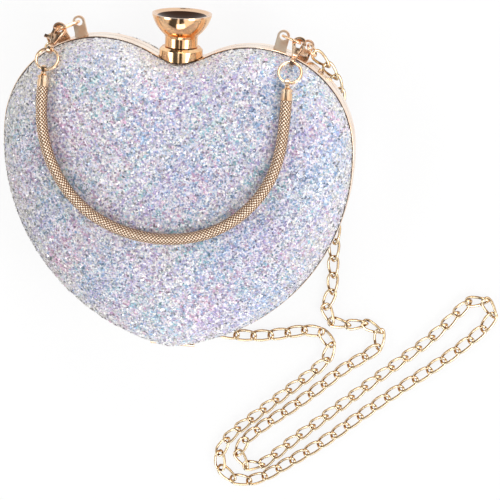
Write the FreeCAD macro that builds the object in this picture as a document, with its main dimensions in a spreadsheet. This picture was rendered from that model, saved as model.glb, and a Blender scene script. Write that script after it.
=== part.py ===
"""Heart shaped purse: two puffed shells in a gold rim, lying on its back, with a mesh handle and a chain.

Millimetres. X runs across the purse, Y towards the clasp, Z up out of the front face.
The origin is on the table, under the middle of the purse's outline.
"""
import FreeCAD
import Part
import Sketcher
import math
import os

doc = FreeCAD.newDocument("HeartPurse")
Vector = FreeCAD.Vector
Z_AXIS = Vector(0, 0, 1)
X_AXIS = Vector(1, 0, 0)
Y_AXIS = Vector(0, 1, 0)

# Driving sizes in millimetres, angles in degrees, shares and counts plain.
SIZES = [
    # heart outline of the rim: six tangent arcs
    ("lobe_offset", 36.5), ("lobe_radius", 48.3), ("valley_radius", 26), ("side_reach", 53),
    ("side_drop", 4.83), ("tip_radius", 14),
    # rim halves
    ("frame_depth", 5.5), ("frame_width", 4), ("frame_round", 0.7), ("parting_gap", 0.3),
    # puffed shells: cover, core and lining
    ("dome_rise", 23), ("edge_reveal", 0.8), ("cover_thickness", 1), ("shell_wall", 2),
    ("lining_thickness", 0.6), ("mean_reach", 75), ("puff_drop", 22),
    ("puff_1_share", 0.985), ("puff_2_share", 0.94), ("puff_3_share", 0.86),
    ("puff_4_share", 0.74), ("puff_5_share", 0.58), ("puff_6_share", 0.36),
    ("rise_1_share", 0.2), ("rise_2_share", 0.42), ("rise_3_share", 0.62),
    ("rise_4_share", 0.79), ("rise_5_share", 0.91), ("rise_6_share", 1),
    # hinge at the tip
    ("barrel_radius", 1.9), ("pin_radius", 0.9), ("hinge_half", 11), ("knuckle_half", 5),
    ("hinge_sink", 0.3), ("leaf_lift", 1), ("leaf_thickness", 2), ("swing_gap", 0.35), ("pin_fit", 0.05),
    # clasp at the cleft
    ("collar_radius", 10.2), ("collar_rise", 6.39), ("collar_bevel", 1.2), ("neck_radius", 7.7),
    ("waist_rise", 12.09), ("waist_radius", 8.2), ("knob_rise", 22.09), ("knob_radius", 14),
    ("knob_lip", 0.9), ("bowl_radius", 18), ("dish_radius", 18), ("dish_depth", 4.4),
    ("turn_gap", 0.35), ("shaft_radius", 1.5), ("cam_drop", 8.17), ("cam_thickness", 2),
    ("hub_radius", 2.7), ("cam_radius", 7), ("hook_wall", 1.4), ("keeper_throw", 4.2),
    ("keeper_radius", 1), ("keeper_grip", 2), ("keeper_drop", 9.17),
    ("hook_start_angle", 155), ("web_start_angle", 195), ("web_end_angle", 240),
    # lugs on the rim
    ("lug_angle", 77.3), ("lug_rise", 7.1), ("lug_radius", 2.9), ("lug_hole", 1.9), ("lug_plate", 1.5),
    ("lug_foot_half", 3.1), ("lug_foot_height", 1.3), ("lug_level", 3.2), ("lug_sink", 1),
    ("chain_lug_angle", 64.7), ("chain_lug_rise", 6), ("chain_lug_level", 2.6),
    # links, clasps, rings and caps at the handle's ends
    ("link_width", 6.8), ("link_wire", 1.25), ("link_play", 0.85),
    ("link_roll_left_angle", 100), ("link_roll_right_angle", 76),
    ("hook_left_x", -8.02), ("hook_left_y", -3.345), ("hook_left_z", 4.3),
    ("hook_right_x", 8.02), ("hook_right_y", -1.845), ("hook_right_z", 4.3),
    ("lean_left_x", -3.4), ("lean_left_y", -9.6), ("lean_left_z", 7.2),
    ("lean_right_x", -2.2), ("lean_right_y", -8.7), ("lean_right_z", 8.7),
    ("claw_length", 14), ("claw_outer", 3.3), ("claw_inner", 1.8), ("claw_thickness", 2.2),
    ("claw_start", 2.6), ("claw_heel_end", 7.6), ("claw_neck_half", 1.2), ("claw_round", 0.5),
    ("swivel_outer", 2.2), ("swivel_inner", 1.15), ("swivel_plate", 1.6),
    ("trigger_thickness", 0.9), ("trigger_gap", 0.35), ("trigger_tip_gap", 0.9), ("trigger_wide", 1.5),
    ("pivot_along", 5.6), ("pivot_aside", 1), ("pivot_radius", 0.5), ("pivot_fit", 0.05),
    ("thumb_length", 2.2),
    ("ring_radius", 5.2), ("ring_wire", 1.3),
    ("ring_lean_left_x", -1.3), ("ring_lean_left_y", -8.7), ("ring_lean_left_z", 6.4),
    ("ring_lean_right_x", -1.1), ("ring_lean_right_y", -8.6), ("ring_lean_right_z", 6.6),
    ("eye_outer", 1.95), ("eye_plate", 1.6), ("eye_play", 0.5), ("eye_root_share", 0.7),
    ("cap_start", 2.3), ("cap_length", 6), ("cap_radius", 2.7), ("cap_neck", 1.3), ("cap_round", 1),
    ("groove_start", 1), ("groove_width", 0.7), ("groove_depth", 0.45),
    ("spigot_length", 3.5), ("core_gap", 0.05),
    # handle sleeve
    ("sleeve_radius", 2.8), ("sleeve_bore", 2),
    # shoulder chain
    ("chain_length", 13.05), ("chain_width", 6.6), ("chain_wire", 1.35), ("chain_pitch", 9.9),
    ("chain_roll_angle", 45), ("chain_slack", 0.3), ("jump_radius", 3.1), ("jump_wire", 1.2),
    ("jump_roll_angle", 80),
]

sheet = doc.addObject("Spreadsheet::Sheet", "Sizes")
for row, (alias, amount) in enumerate(SIZES, start=1):
    sheet.set("A%d" % row, alias)
    sheet.set("B%d" % row, str(amount))
    sheet.setAlias("B%d" % row, alias)
doc.recompute()


class Dim:
    """A size that keeps both its number and the sheet formula that gives it."""

    def __init__(self, number, formula):
        self.number = number
        self.formula = formula

    def __add__(self, other):
        other = as_dim(other)
        return Dim(self.number + other.number, "(%s + %s)" % (self.formula, other.formula))

    def __sub__(self, other):
        other = as_dim(other)
        return Dim(self.number - other.number, "(%s - %s)" % (self.formula, other.formula))

    def __mul__(self, other):
        other = as_dim(other)
        return Dim(self.number * other.number, "(%s * %s)" % (self.formula, other.formula))

    def __truediv__(self, other):
        other = as_dim(other)
        return Dim(self.number / other.number, "(%s / %s)" % (self.formula, other.formula))

    def __neg__(self):
        return Dim(-self.number, "(0 - %s)" % self.formula)


def as_dim(amount):
    """Wraps a plain number, such as a share or a zero, as a size."""
    return amount if isinstance(amount, Dim) else Dim(float(amount), "%r" % float(amount))


def root(amount):
    """The square root of a size."""
    return Dim(math.sqrt(amount.number), "sqrt(%s)" % amount.formula)


def size(alias):
    """A driving size from the sheet."""
    return Dim(float(sheet.get(alias)), "Sizes." + alias)


def num(alias):
    """The plain number of a driving size."""
    return float(sheet.get(alias))


def bind(owner, prop, amount):
    """Binds one property of an object to a size's formula."""
    owner.setExpression(prop, as_dim(amount).formula)


NONE = as_dim(0)
WHOLE = as_dim(1)
HALF_SHARE = 0.5
# A half circle is drawn as an arc a hair flatter than its chord needs.
HEAD_BEND_SHARE = 1.0001
ARC_SETBACK_SHARE = 0.45

# Heart outline, measured from the line through the lobes' centres: the valley's floor, and the side arcs and
# tip arc that run on from the lobes.
lobe_to_valley = size("lobe_radius") + size("valley_radius")
valley_rise = root(lobe_to_valley * lobe_to_valley - size("lobe_offset") * size("lobe_offset"))
valley_floor = valley_rise - size("valley_radius")
side_radius = size("lobe_radius") + size("side_reach")
side_inward = root(size("side_reach") * size("side_reach") - size("side_drop") * size("side_drop"))
side_across = size("lobe_offset") - side_inward
side_to_tip = side_radius - size("tip_radius")
tip_down = root(side_to_tip * side_to_tip - side_across * side_across)
tip_drop = size("side_drop") + tip_down + size("tip_radius")

# Levels shared by many pieces.
bottom_reach = tip_drop - size("hinge_sink") + size("barrel_radius")
lobe_line = (bottom_reach - valley_floor - size("knob_rise")) * HALF_SHARE
valley_line = lobe_line + valley_floor
puff_line = lobe_line - size("puff_drop")
seam = size("frame_depth") + size("dome_rise")
tip_line = lobe_line - tip_drop
hinge_line = tip_line + size("hinge_sink")
half_gap = size("parting_gap") * HALF_SHARE


def plane_of(body, role):
    """One of a body's own origin planes."""
    return [plane for plane in body.Origin.OriginFeatures if plane.Role == role][0]


def new_body(label):
    """An empty body that carries its piece's name."""
    body = doc.addObject("PartDesign::Body", label)
    body.Label = label
    return body


def new_sketch(body, name, role="XY_Plane", height=NONE):
    """A sketch on one of the body's planes, lifted along the plane's normal."""
    sketch = body.newObject("Sketcher::SketchObject", name)
    sketch.AttachmentSupport = [(plane_of(body, role), "")]
    sketch.MapMode = "FlatFace"
    sketch.AttachmentOffset = FreeCAD.Placement(Vector(0, 0, height.number), FreeCAD.Rotation())
    bind(sketch, "AttachmentOffset.Base.z", height)
    return sketch


def hold(sketch, kind, *where, amount):
    """Adds a dimension to a sketch and binds it; a negative distance is measured the other way."""
    spots = list(where)
    if kind in ("DistanceX", "DistanceY") and amount.number < 0:
        spots = spots[2:] + spots[:2]
        amount = -amount
    index = sketch.addConstraint(Sketcher.Constraint(kind, *spots, amount.number))
    sketch.setExpression("Constraints[%d]" % index, amount.formula)


def pin_point(sketch, geometry, spot, across, along):
    """Fixes a point of a sketch at a place measured from the sketch's origin."""
    for kind, axis, amount in (("DistanceX", -2, across), ("DistanceY", -1, along)):
        if abs(amount.number) < 1e-9:
            sketch.addConstraint(Sketcher.Constraint("PointOnObject", geometry, spot, axis))
        else:
            hold(sketch, kind, -1, 1, geometry, spot, amount=amount)


def add_heart(sketch, share=WHOLE, inset=NONE):
    """Draws the heart as six tangent arcs, drawn in by an inset and shrunk about the puff's centre."""
    lobe_r = (size("lobe_radius") - inset) * share
    valley_r = (size("valley_radius") + inset) * share
    side_r = (side_radius - inset) * share
    tip_r = (size("tip_radius") - inset) * share
    across = size("lobe_offset") * share
    along = puff_line + (lobe_line - puff_line) * share
    tip_centre = puff_line + (tip_line + size("tip_radius") - puff_line) * share
    a, b, r1 = across.number, along.number, lobe_r.number
    valley_y = b + (valley_rise * share).number
    valley_end = math.atan2(b - valley_y, a)
    side_x = (side_across * share).number
    side_y = b - (size("side_drop") * share).number
    turn = math.pi
    join_lobe = math.atan2(b - side_y, a - side_x)
    join_tip = math.atan2(tip_centre.number - side_y, -side_x)

    def arc(x, y, radius, start, stop):
        circle = Part.Circle(Vector(x, y, 0), Z_AXIS, radius)
        return sketch.addGeometry(Part.ArcOfCircle(circle, start, stop), False)

    valley = arc(0, valley_y, valley_r.number, -turn - valley_end, valley_end)
    right_lobe = arc(a, b, r1, join_lobe, valley_end + turn)
    right_side = arc(side_x, side_y, side_r.number, join_tip, join_lobe)
    tip = arc(0, tip_centre.number, tip_r.number, -turn - join_tip, join_tip)
    left_side = arc(-side_x, side_y, side_r.number, turn - join_lobe, turn - join_tip)
    left_lobe = arc(-a, b, r1, -valley_end, turn - join_lobe)
    for one, one_end, other, other_end in ((right_lobe, 1, right_side, 2), (right_side, 1, tip, 2),
                                           (tip, 1, left_side, 2), (left_side, 1, left_lobe, 2),
                                           (left_lobe, 1, valley, 1), (valley, 2, right_lobe, 2)):
        sketch.addConstraint(Sketcher.Constraint("Tangent", one, one_end, other, other_end))
    sketch.addConstraint(Sketcher.Constraint("PointOnObject", valley, 3, -2))
    sketch.addConstraint(Sketcher.Constraint("PointOnObject", tip, 3, -2))
    for geometry, radius in ((valley, valley_r), (right_lobe, lobe_r), (right_side, side_r),
                             (tip, tip_r), (left_side, side_r), (left_lobe, lobe_r)):
        hold(sketch, "Radius", geometry, amount=radius)
    hold(sketch, "DistanceX", -1, 1, right_lobe, 3, amount=across)
    hold(sketch, "DistanceY", -1, 1, right_lobe, 3, amount=along)
    hold(sketch, "DistanceX", -1, 1, left_lobe, 3, amount=-across)
    hold(sketch, "DistanceY", -1, 1, tip, 3, amount=tip_centre)


def add_outline(sketch, points):
    """Draws a closed outline; a point may carry the radius of the arc it starts, negative for a hollow."""
    count = len(points)
    places = [Vector(point[0].number, point[1].number, 0) for point in points]
    edges = []
    for index in range(count):
        start = places[index]
        stop = places[(index + 1) % count]
        bend = points[index][2] if len(points[index]) == 3 else None
        if bend is None:
            edges.append((sketch.addGeometry(Part.LineSegment(start, stop), False), 1, 2))
            continue
        chord = stop - start
        middle = (start + stop) * HALF_SHARE
        side = Vector(-chord.y, chord.x, 0).normalize()
        rise = math.sqrt(bend.number ** 2 - (chord.Length * HALF_SHARE) ** 2)
        centre = middle + side * math.copysign(rise, bend.number)
        from_centre = start - centre
        to_centre = stop - centre
        first = math.atan2(from_centre.y, from_centre.x)
        last = math.atan2(to_centre.y, to_centre.x)
        circle = Part.Circle(centre, Z_AXIS, abs(bend.number))
        if bend.number > 0:
            geometry = sketch.addGeometry(Part.ArcOfCircle(circle, first, last), False)
            edges.append((geometry, 1, 2))
        else:
            geometry = sketch.addGeometry(Part.ArcOfCircle(circle, last, first), False)
            edges.append((geometry, 2, 1))
        hold(sketch, "Radius", geometry, amount=bend if bend.number > 0 else -bend)
    for index in range(count):
        this = edges[index]
        following = edges[(index + 1) % count]
        sketch.addConstraint(Sketcher.Constraint("Coincident", this[0], this[2], following[0], following[1]))
        pin_point(sketch, this[0], this[1], points[index][0], points[index][1])


def add_circle(sketch, across, along, radius):
    """Draws a circle at a measured place."""
    circle = Part.Circle(Vector(across.number, along.number, 0), Z_AXIS, radius.number)
    geometry = sketch.addGeometry(circle, False)
    hold(sketch, "Radius", geometry, amount=radius)
    pin_point(sketch, geometry, 3, across, along)


def pad(body, sketch, length, both_ways=False):
    """Pads a sketch, to one side or evenly to both."""
    feature = body.newObject("PartDesign::Pad", sketch.Name + "Pad")
    feature.Profile = sketch
    feature.Midplane = both_ways
    bind(feature, "Length", length)
    return feature


def pocket(body, sketch, length):
    """Cuts a sketch evenly to both sides."""
    feature = body.newObject("PartDesign::Pocket", sketch.Name + "Pocket")
    feature.Profile = sketch
    feature.Midplane = True
    bind(feature, "Length", length)
    return feature


def revolve(body, sketch):
    """Turns a sketch about its own upright axis."""
    feature = body.newObject("PartDesign::Revolution", sketch.Name + "Turn")
    feature.Profile = sketch
    feature.ReferenceAxis = (sketch, ["V_Axis"])
    feature.Angle = 360
    return feature


def box(name, low, lengths):
    """A block from its low corner and its three lengths."""
    block = doc.addObject("Part::Box", name)
    for axis, corner in zip("xyz", low):
        bind(block, "Placement.Base." + axis, corner)
    for side, length in zip(("Length", "Width", "Height"), lengths):
        bind(block, side, length)
    return block


def rod(name, base, direction, radius, length):
    """A cylinder from the middle of one end, along an axis."""
    cylinder = doc.addObject("Part::Cylinder", name)
    cylinder.Placement = FreeCAD.Placement(Vector(0, 0, 0), FreeCAD.Rotation(Z_AXIS, direction))
    for axis, corner in zip("xyz", base):
        bind(cylinder, "Placement.Base." + axis, corner)
    bind(cylinder, "Radius", radius)
    bind(cylinder, "Height", length)
    return cylinder


def fuse(name, pieces):
    """Joins pieces into one."""
    union = doc.addObject("Part::MultiFuse", name)
    union.Shapes = pieces
    return union


def cut(name, base, tool):
    """Takes a tool away from a base."""
    rest = doc.addObject("Part::Cut", name)
    rest.Base = base
    rest.Tool = tool
    return rest


def solid_piece(name, shape, placement=None):
    """A piece with a made shape, set in place afterwards."""
    piece = doc.addObject("Part::Feature", name)
    piece.Label = name
    piece.Shape = shape
    if placement is not None:
        piece.Placement = placement
    return piece


pieces = {}


def keep(label, piece):
    """Names a finished piece and lists it for writing."""
    piece.Label = label
    pieces[label] = piece


# Heart prisms that seat the collar and the lugs on the rim.
def heart_prism(name, grown, low, tall):
    """The rim's outline, grown by a gap, as a block between two heights."""
    body = new_body(name)
    sketch = new_sketch(body, name + "Outline", height=low)
    add_heart(sketch, inset=-grown)
    pad(body, sketch, tall)
    return body


rear_prism = heart_prism("RearSeat", NONE, seam - size("dome_rise"), size("dome_rise") - half_gap)
front_prism = heart_prism("FrontSeat", NONE, seam + half_gap, size("dome_rise"))
front_clear = heart_prism("FrontClear", size("swing_gap"), seam - half_gap, size("dome_rise"))


# Rim halves: a heart ring each, rounded on its outer corner.
def rim_ring(name, low, outer_level):
    """A plain rim ring whose outward corner is rounded."""
    body = new_body(name)
    sketch = new_sketch(body, name + "Outline", height=low)
    add_heart(sketch)
    add_heart(sketch, inset=size("frame_width"))
    ring = pad(body, sketch, size("frame_depth") - half_gap)
    doc.recompute()
    outer_radii = [num("lobe_radius"), num("valley_radius"), side_radius.number, num("tip_radius")]
    chosen = []
    for index, edge in enumerate(ring.Shape.Edges, start=1):
        level = [abs(vertex.Z - outer_level.number) < 1e-6 for vertex in edge.Vertexes]
        if all(level) and any(abs(edge.Curve.Radius - radius) < 1e-6 for radius in outer_radii):
            chosen.append("Edge%d" % index)
    rounding = body.newObject("PartDesign::Fillet", name + "Round")
    rounding.Base = (ring, chosen)
    bind(rounding, "Radius", size("frame_round"))
    return body


front_ring = rim_ring("FrontRing", seam + half_gap, seam + size("frame_depth"))
rear_ring = rim_ring("RearRing", seam - size("frame_depth"), seam - size("frame_depth"))

# Hinge at the tip: two outer knuckles on the front leaf, one middle knuckle on the rear leaf, one pin.
hinge_half = size("hinge_half")
knuckle_half = size("knuckle_half")
knuckle_end = knuckle_half + size("swing_gap")
outer_length = hinge_half - knuckle_end
tab_length = tip_line + size("frame_width") - hinge_line
tab_low = seam + size("leaf_lift")
rear_tab_low = seam - size("leaf_lift") - size("leaf_thickness")


def knuckle(name, start, length, tab_bottom):
    """A barrel with the tab that runs into its rim half."""
    barrel = rod(name + "Barrel", (start, hinge_line, seam), X_AXIS, size("barrel_radius"), length)
    tab = box(name + "Tab", (start, hinge_line, tab_bottom), (length, tab_length, size("leaf_thickness")))
    return barrel, tab


right_barrel, right_tab = knuckle("RightKnuckle", knuckle_end, outer_length, tab_low)
left_barrel, left_tab = knuckle("LeftKnuckle", -hinge_half, outer_length, tab_low)
middle_length = knuckle_half + knuckle_half
middle_barrel, middle_tab = knuckle("MiddleKnuckle", -knuckle_half, middle_length, rear_tab_low)
front_bore = rod("FrontBore", (-hinge_half, hinge_line, seam), X_AXIS,
                 size("pin_radius") + size("pin_fit"), hinge_half + hinge_half)
rear_bore = rod("RearBore", (-hinge_half, hinge_line, seam), X_AXIS,
                size("pin_radius"), hinge_half + hinge_half)
front_knuckles = fuse("FrontKnuckles", [right_barrel, right_tab, left_barrel, left_tab])
front_leaf = cut("FrontLeaf", front_knuckles, front_bore)
rear_leaf = cut("RearLeaf", fuse("RearKnuckle", [middle_barrel, middle_tab]), rear_bore)
keep("front_hinge_leaf", front_leaf)
keep("rear_hinge_leaf", rear_leaf)
keep("hinge_pin", rod("HingePin", (-hinge_half, hinge_line, seam), X_AXIS,
                      size("pin_radius"), hinge_half + hinge_half))
notch_half = hinge_half + size("swing_gap")


def hinge_notch(name):
    """Room for the barrels at the tip of a rim half."""
    return rod(name, (-notch_half, hinge_line, seam), X_AXIS,
               size("barrel_radius") + size("swing_gap"), notch_half + notch_half)


def tab_slot(name, start, length, tab_bottom):
    """The pocket in a rim half that a leaf's tab fills."""
    return box(name, (start, hinge_line, tab_bottom), (length, tab_length, size("leaf_thickness")))


# Clasp: a knob on a shaft that turns in the collar; a cam under the rim catches a keeper post.
shaft_start = valley_line - size("cam_drop")
collar_top = valley_line + size("collar_rise")
knob_start = collar_top + size("turn_gap")
waist_line = valley_line + size("waist_rise")
knob_top = valley_line + size("knob_rise")

collar_body = new_body("CollarBlank")
collar_sketch = new_sketch(collar_body, "CollarProfile")
bore = size("shaft_radius") + size("pin_fit")
collar_bottom = shaft_start + size("cam_thickness") + size("keeper_grip")
add_outline(collar_sketch, [
    (bore, collar_bottom),
    (size("collar_radius"), collar_bottom),
    (size("collar_radius"), collar_top - size("collar_bevel")),
    (size("collar_radius") - size("collar_bevel"), collar_top),
    (bore, collar_top)])
revolve(collar_body, collar_sketch)
bind(collar_body, "Placement.Base.z", seam)
keep("clasp_collar", cut("Collar", cut("CollarOnRear", collar_body, rear_prism), front_clear))

knob_body = new_body("clasp_knob")
knob_sketch = new_sketch(knob_body, "KnobProfile")
shaft_seat = size("shaft_radius")
add_outline(knob_sketch, [
    (shaft_seat, knob_start),
    (size("neck_radius"), knob_start),
    (size("neck_radius"), waist_line - size("collar_bevel")),
    (size("waist_radius"), waist_line, size("bowl_radius")),
    (size("knob_radius"), knob_top - size("knob_lip")),
    (size("knob_radius"), knob_top),
    (size("knob_radius") - size("knob_lip"), knob_top, -size("dish_radius")),
    (shaft_seat, knob_top - size("dish_depth"))])
revolve(knob_body, knob_sketch)
bind(knob_body, "Placement.Base.z", seam)
keep("clasp_knob", knob_body)
shaft_length = knob_top - size("dish_depth") - shaft_start
keep("clasp_shaft", rod("ClaspShaft", (NONE, shaft_start, seam), Y_AXIS, size("shaft_radius"), shaft_length))


def sector(radius, thickness, start, stop):
    """A flat pie slice of a disc that stands on the shaft's axis."""
    slice_shape = Part.makeCylinder(radius, thickness, Vector(0, 0, 0), Z_AXIS, stop - start)
    slice_shape.rotate(Vector(0, 0, 0), Z_AXIS, start)
    return slice_shape


cam_thick = num("cam_thickness")
hook_start = num("hook_start_angle")
hook_outer = sector(num("cam_radius"), cam_thick, hook_start, num("web_end_angle"))
hook_slot = sector(num("cam_radius") - num("hook_wall"), cam_thick, hook_start, num("web_start_angle"))
hub = Part.makeCylinder(num("hub_radius"), cam_thick)
cam_bore = Part.makeCylinder(num("shaft_radius"), cam_thick)
cam_shape = hook_outer.cut(hook_slot).fuse(hub).cut(cam_bore).removeSplitter()
cam_turn = FreeCAD.Rotation(X_AXIS, 90)
cam_place = FreeCAD.Placement(Vector(0, shaft_start.number + cam_thick, seam.number), cam_turn)
keep("clasp_cam", solid_piece("clasp_cam", cam_shape, cam_place))

keeper_start = valley_line - size("keeper_drop")
keeper_length = collar_bottom + size("keeper_grip") + size("keeper_grip") - keeper_start
keeper_place = (NONE, keeper_start, seam + size("keeper_throw"))
keep("keeper_post", rod("KeeperPost", keeper_place, Y_AXIS, size("keeper_radius"), keeper_length))
keeper_hole = rod("KeeperHole", keeper_place, Y_AXIS, size("keeper_radius"), keeper_length)
shaft_room = size("shaft_radius") + size("turn_gap")


def shaft_notch(name):
    """Room for the clasp shaft where it passes the parting of the rim."""
    return rod(name, (NONE, shaft_start, seam), Y_AXIS, shaft_room, shaft_length)


keep("front_frame", cut("FrontRim", front_ring, fuse("FrontRimTools", [
    hinge_notch("FrontNotch"), tab_slot("RightSlot", knuckle_end, outer_length, tab_low),
    tab_slot("LeftSlot", -hinge_half, outer_length, tab_low), keeper_hole, shaft_notch("FrontShaftNotch")])))
keep("rear_frame", cut("RearRim", rear_ring, fuse("RearRimTools", [
    hinge_notch("RearNotch"), tab_slot("MiddleSlot", -knuckle_half, middle_length, rear_tab_low),
    shaft_notch("RearShaftNotch")])))


# Puffed shells: nested domes, each through the same shrinking hearts.
PUFF_STEPS = (1, 2, 3, 4, 5, 6)


def dome_sections(body, name, depth, side):
    """Heart sketches of one dome surface, a set depth under the cover's skin, on the front or the rear."""
    base_share = WHOLE - (size("edge_reveal") + depth) / size("mean_reach")
    rise = size("dome_rise") - depth
    floor = seam + size("frame_depth") if side > 0 else seam - size("frame_depth")
    sketches = []
    for step in (0,) + PUFF_STEPS:
        share = base_share * size("puff_%d_share" % step) if step else base_share
        lift = rise * size("rise_%d_share" % step) if step else NONE
        height = floor + lift if side > 0 else floor - lift
        sketch = new_sketch(body, "%s%d" % (name, step), height=height)
        add_heart(sketch, share=share)
        sketches.append(sketch)
    return sketches


def dome(label, outer_depth, inner_depth, side):
    """A bowl between two depths under the cover's skin."""
    body = new_body(label)
    outer = dome_sections(body, label + "Outer", outer_depth, side)
    inner = dome_sections(body, label + "Inner", inner_depth, side)
    solid = body.newObject("PartDesign::AdditiveLoft", label + "Loft")
    solid.Profile = outer[0]
    solid.Sections = outer[1:]
    doc.recompute()
    hollow = body.newObject("PartDesign::SubtractiveLoft", label + "Hollow")
    hollow.Profile = inner[0]
    hollow.Sections = inner[1:]
    doc.recompute()
    keep(label, body)


shell_depth = size("cover_thickness")
lining_depth = shell_depth + size("shell_wall")
inside_depth = lining_depth + size("lining_thickness")
for half, side in (("front", 1), ("rear", -1)):
    dome(half + "_glitter_cover", NONE, shell_depth, side)
    dome(half + "_shell", shell_depth, lining_depth, side)
    dome(half + "_lining", lining_depth, inside_depth, side)


# Lugs: plates with an eye, each on a stepped foot seated on the rim.
def lug(label, side, angle, rise, level, seat):
    """A lug that stands square to a lobe of the rim, on the right or the left."""
    body = new_body(label + "Blank")
    sketch = new_sketch(body, label + "Outline")
    root = size("lobe_radius") - size("lug_sink")
    step = size("lobe_radius") + size("lug_foot_height")
    centre = size("lobe_radius") + rise
    wide = size("lug_radius")
    foot = size("lug_foot_half")
    add_outline(sketch, [
        (-foot, root), (foot, root), (foot, step), (wide, step), (wide, centre, wide * HEAD_BEND_SHARE),
        (-wide, centre), (-wide, step), (-foot, step)])
    add_circle(sketch, NONE, centre, size("lug_hole"))
    pad(body, sketch, size("lug_plate"), both_ways=True)
    lean = side * (num(angle) - 90)
    body.Placement = FreeCAD.Placement(Vector(0, 0, 0), FreeCAD.Rotation(Z_AXIS, lean))
    bind(body, "Placement.Base.x", size("lobe_offset") * side)
    bind(body, "Placement.Base.y", lobe_line)
    bind(body, "Placement.Base.z", level)
    keep(label, cut(label + "Seated", body, seat))
    away = Vector(math.cos(math.radians(num(angle))) * side, math.sin(math.radians(num(angle))), 0)
    eye = Vector(side * num("lobe_offset"), lobe_line.number, level.number) + away * centre.number
    return eye


lug_height = seam + size("lug_level")
chain_lug_height = seam - size("chain_lug_level")
handle_eyes = {}
chain_eyes = {}
for name, side in (("left", -1), ("right", 1)):
    handle_eyes[name] = lug("handle_lug_" + name, side, "lug_angle",
                            size("lug_rise"), lug_height, front_prism)
    chain_eyes[name] = lug("chain_lug_" + name, side, "chain_lug_angle", size("chain_lug_rise"),
                           chain_lug_height, rear_prism)


# Wire links and rings.
def wire_path(edges, wire_radius):
    """A round wire along a closed or open path of straight runs and arcs."""
    path = Part.Wire(edges)
    first = edges[0]
    start = first.valueAt(first.FirstParameter)
    heading = first.tangentAt(first.FirstParameter)
    section = Part.Wire([Part.makeCircle(wire_radius, start, heading)])
    return path.makePipeShell([section], True, False)


def oblong_link(reach, width, wire):
    """A link as a stadium of round wire; reach is between the wire's middles at its two ends."""
    end_r = (width - wire) * HALF_SHARE
    half_run = reach * HALF_SHARE - end_r
    corners = [Vector(half_run, -end_r, 0), Vector(half_run, end_r, 0),
               Vector(-half_run, end_r, 0), Vector(-half_run, -end_r, 0)]
    right_end = Part.Arc(corners[0], Vector(half_run + end_r, 0, 0), corners[1]).toShape()
    top = Part.LineSegment(corners[1], corners[2]).toShape()
    left_end = Part.Arc(corners[2], Vector(-half_run - end_r, 0, 0), corners[3]).toShape()
    bottom = Part.LineSegment(corners[3], corners[0]).toShape()
    return wire_path([bottom, right_end, top, left_end], wire * HALF_SHARE)


def set_along(origin, heading, beside):
    """A placement whose X runs along a heading and whose Y is as near as can be to a second direction."""
    x_dir = Vector(heading).normalize()
    z_dir = x_dir.cross(beside).normalize()
    y_dir = z_dir.cross(x_dir)
    turn = FreeCAD.Rotation(x_dir, y_dir, z_dir, "XYZ")
    return FreeCAD.Placement(origin, turn)


def beside(heading, roll):
    """The sideways direction of a link that is rolled about its heading."""
    level = Z_AXIS.cross(heading).normalize()
    upright = heading.cross(level).normalize()
    turn = math.radians(roll)
    return level * math.cos(turn) + upright * math.sin(turn)


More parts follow.
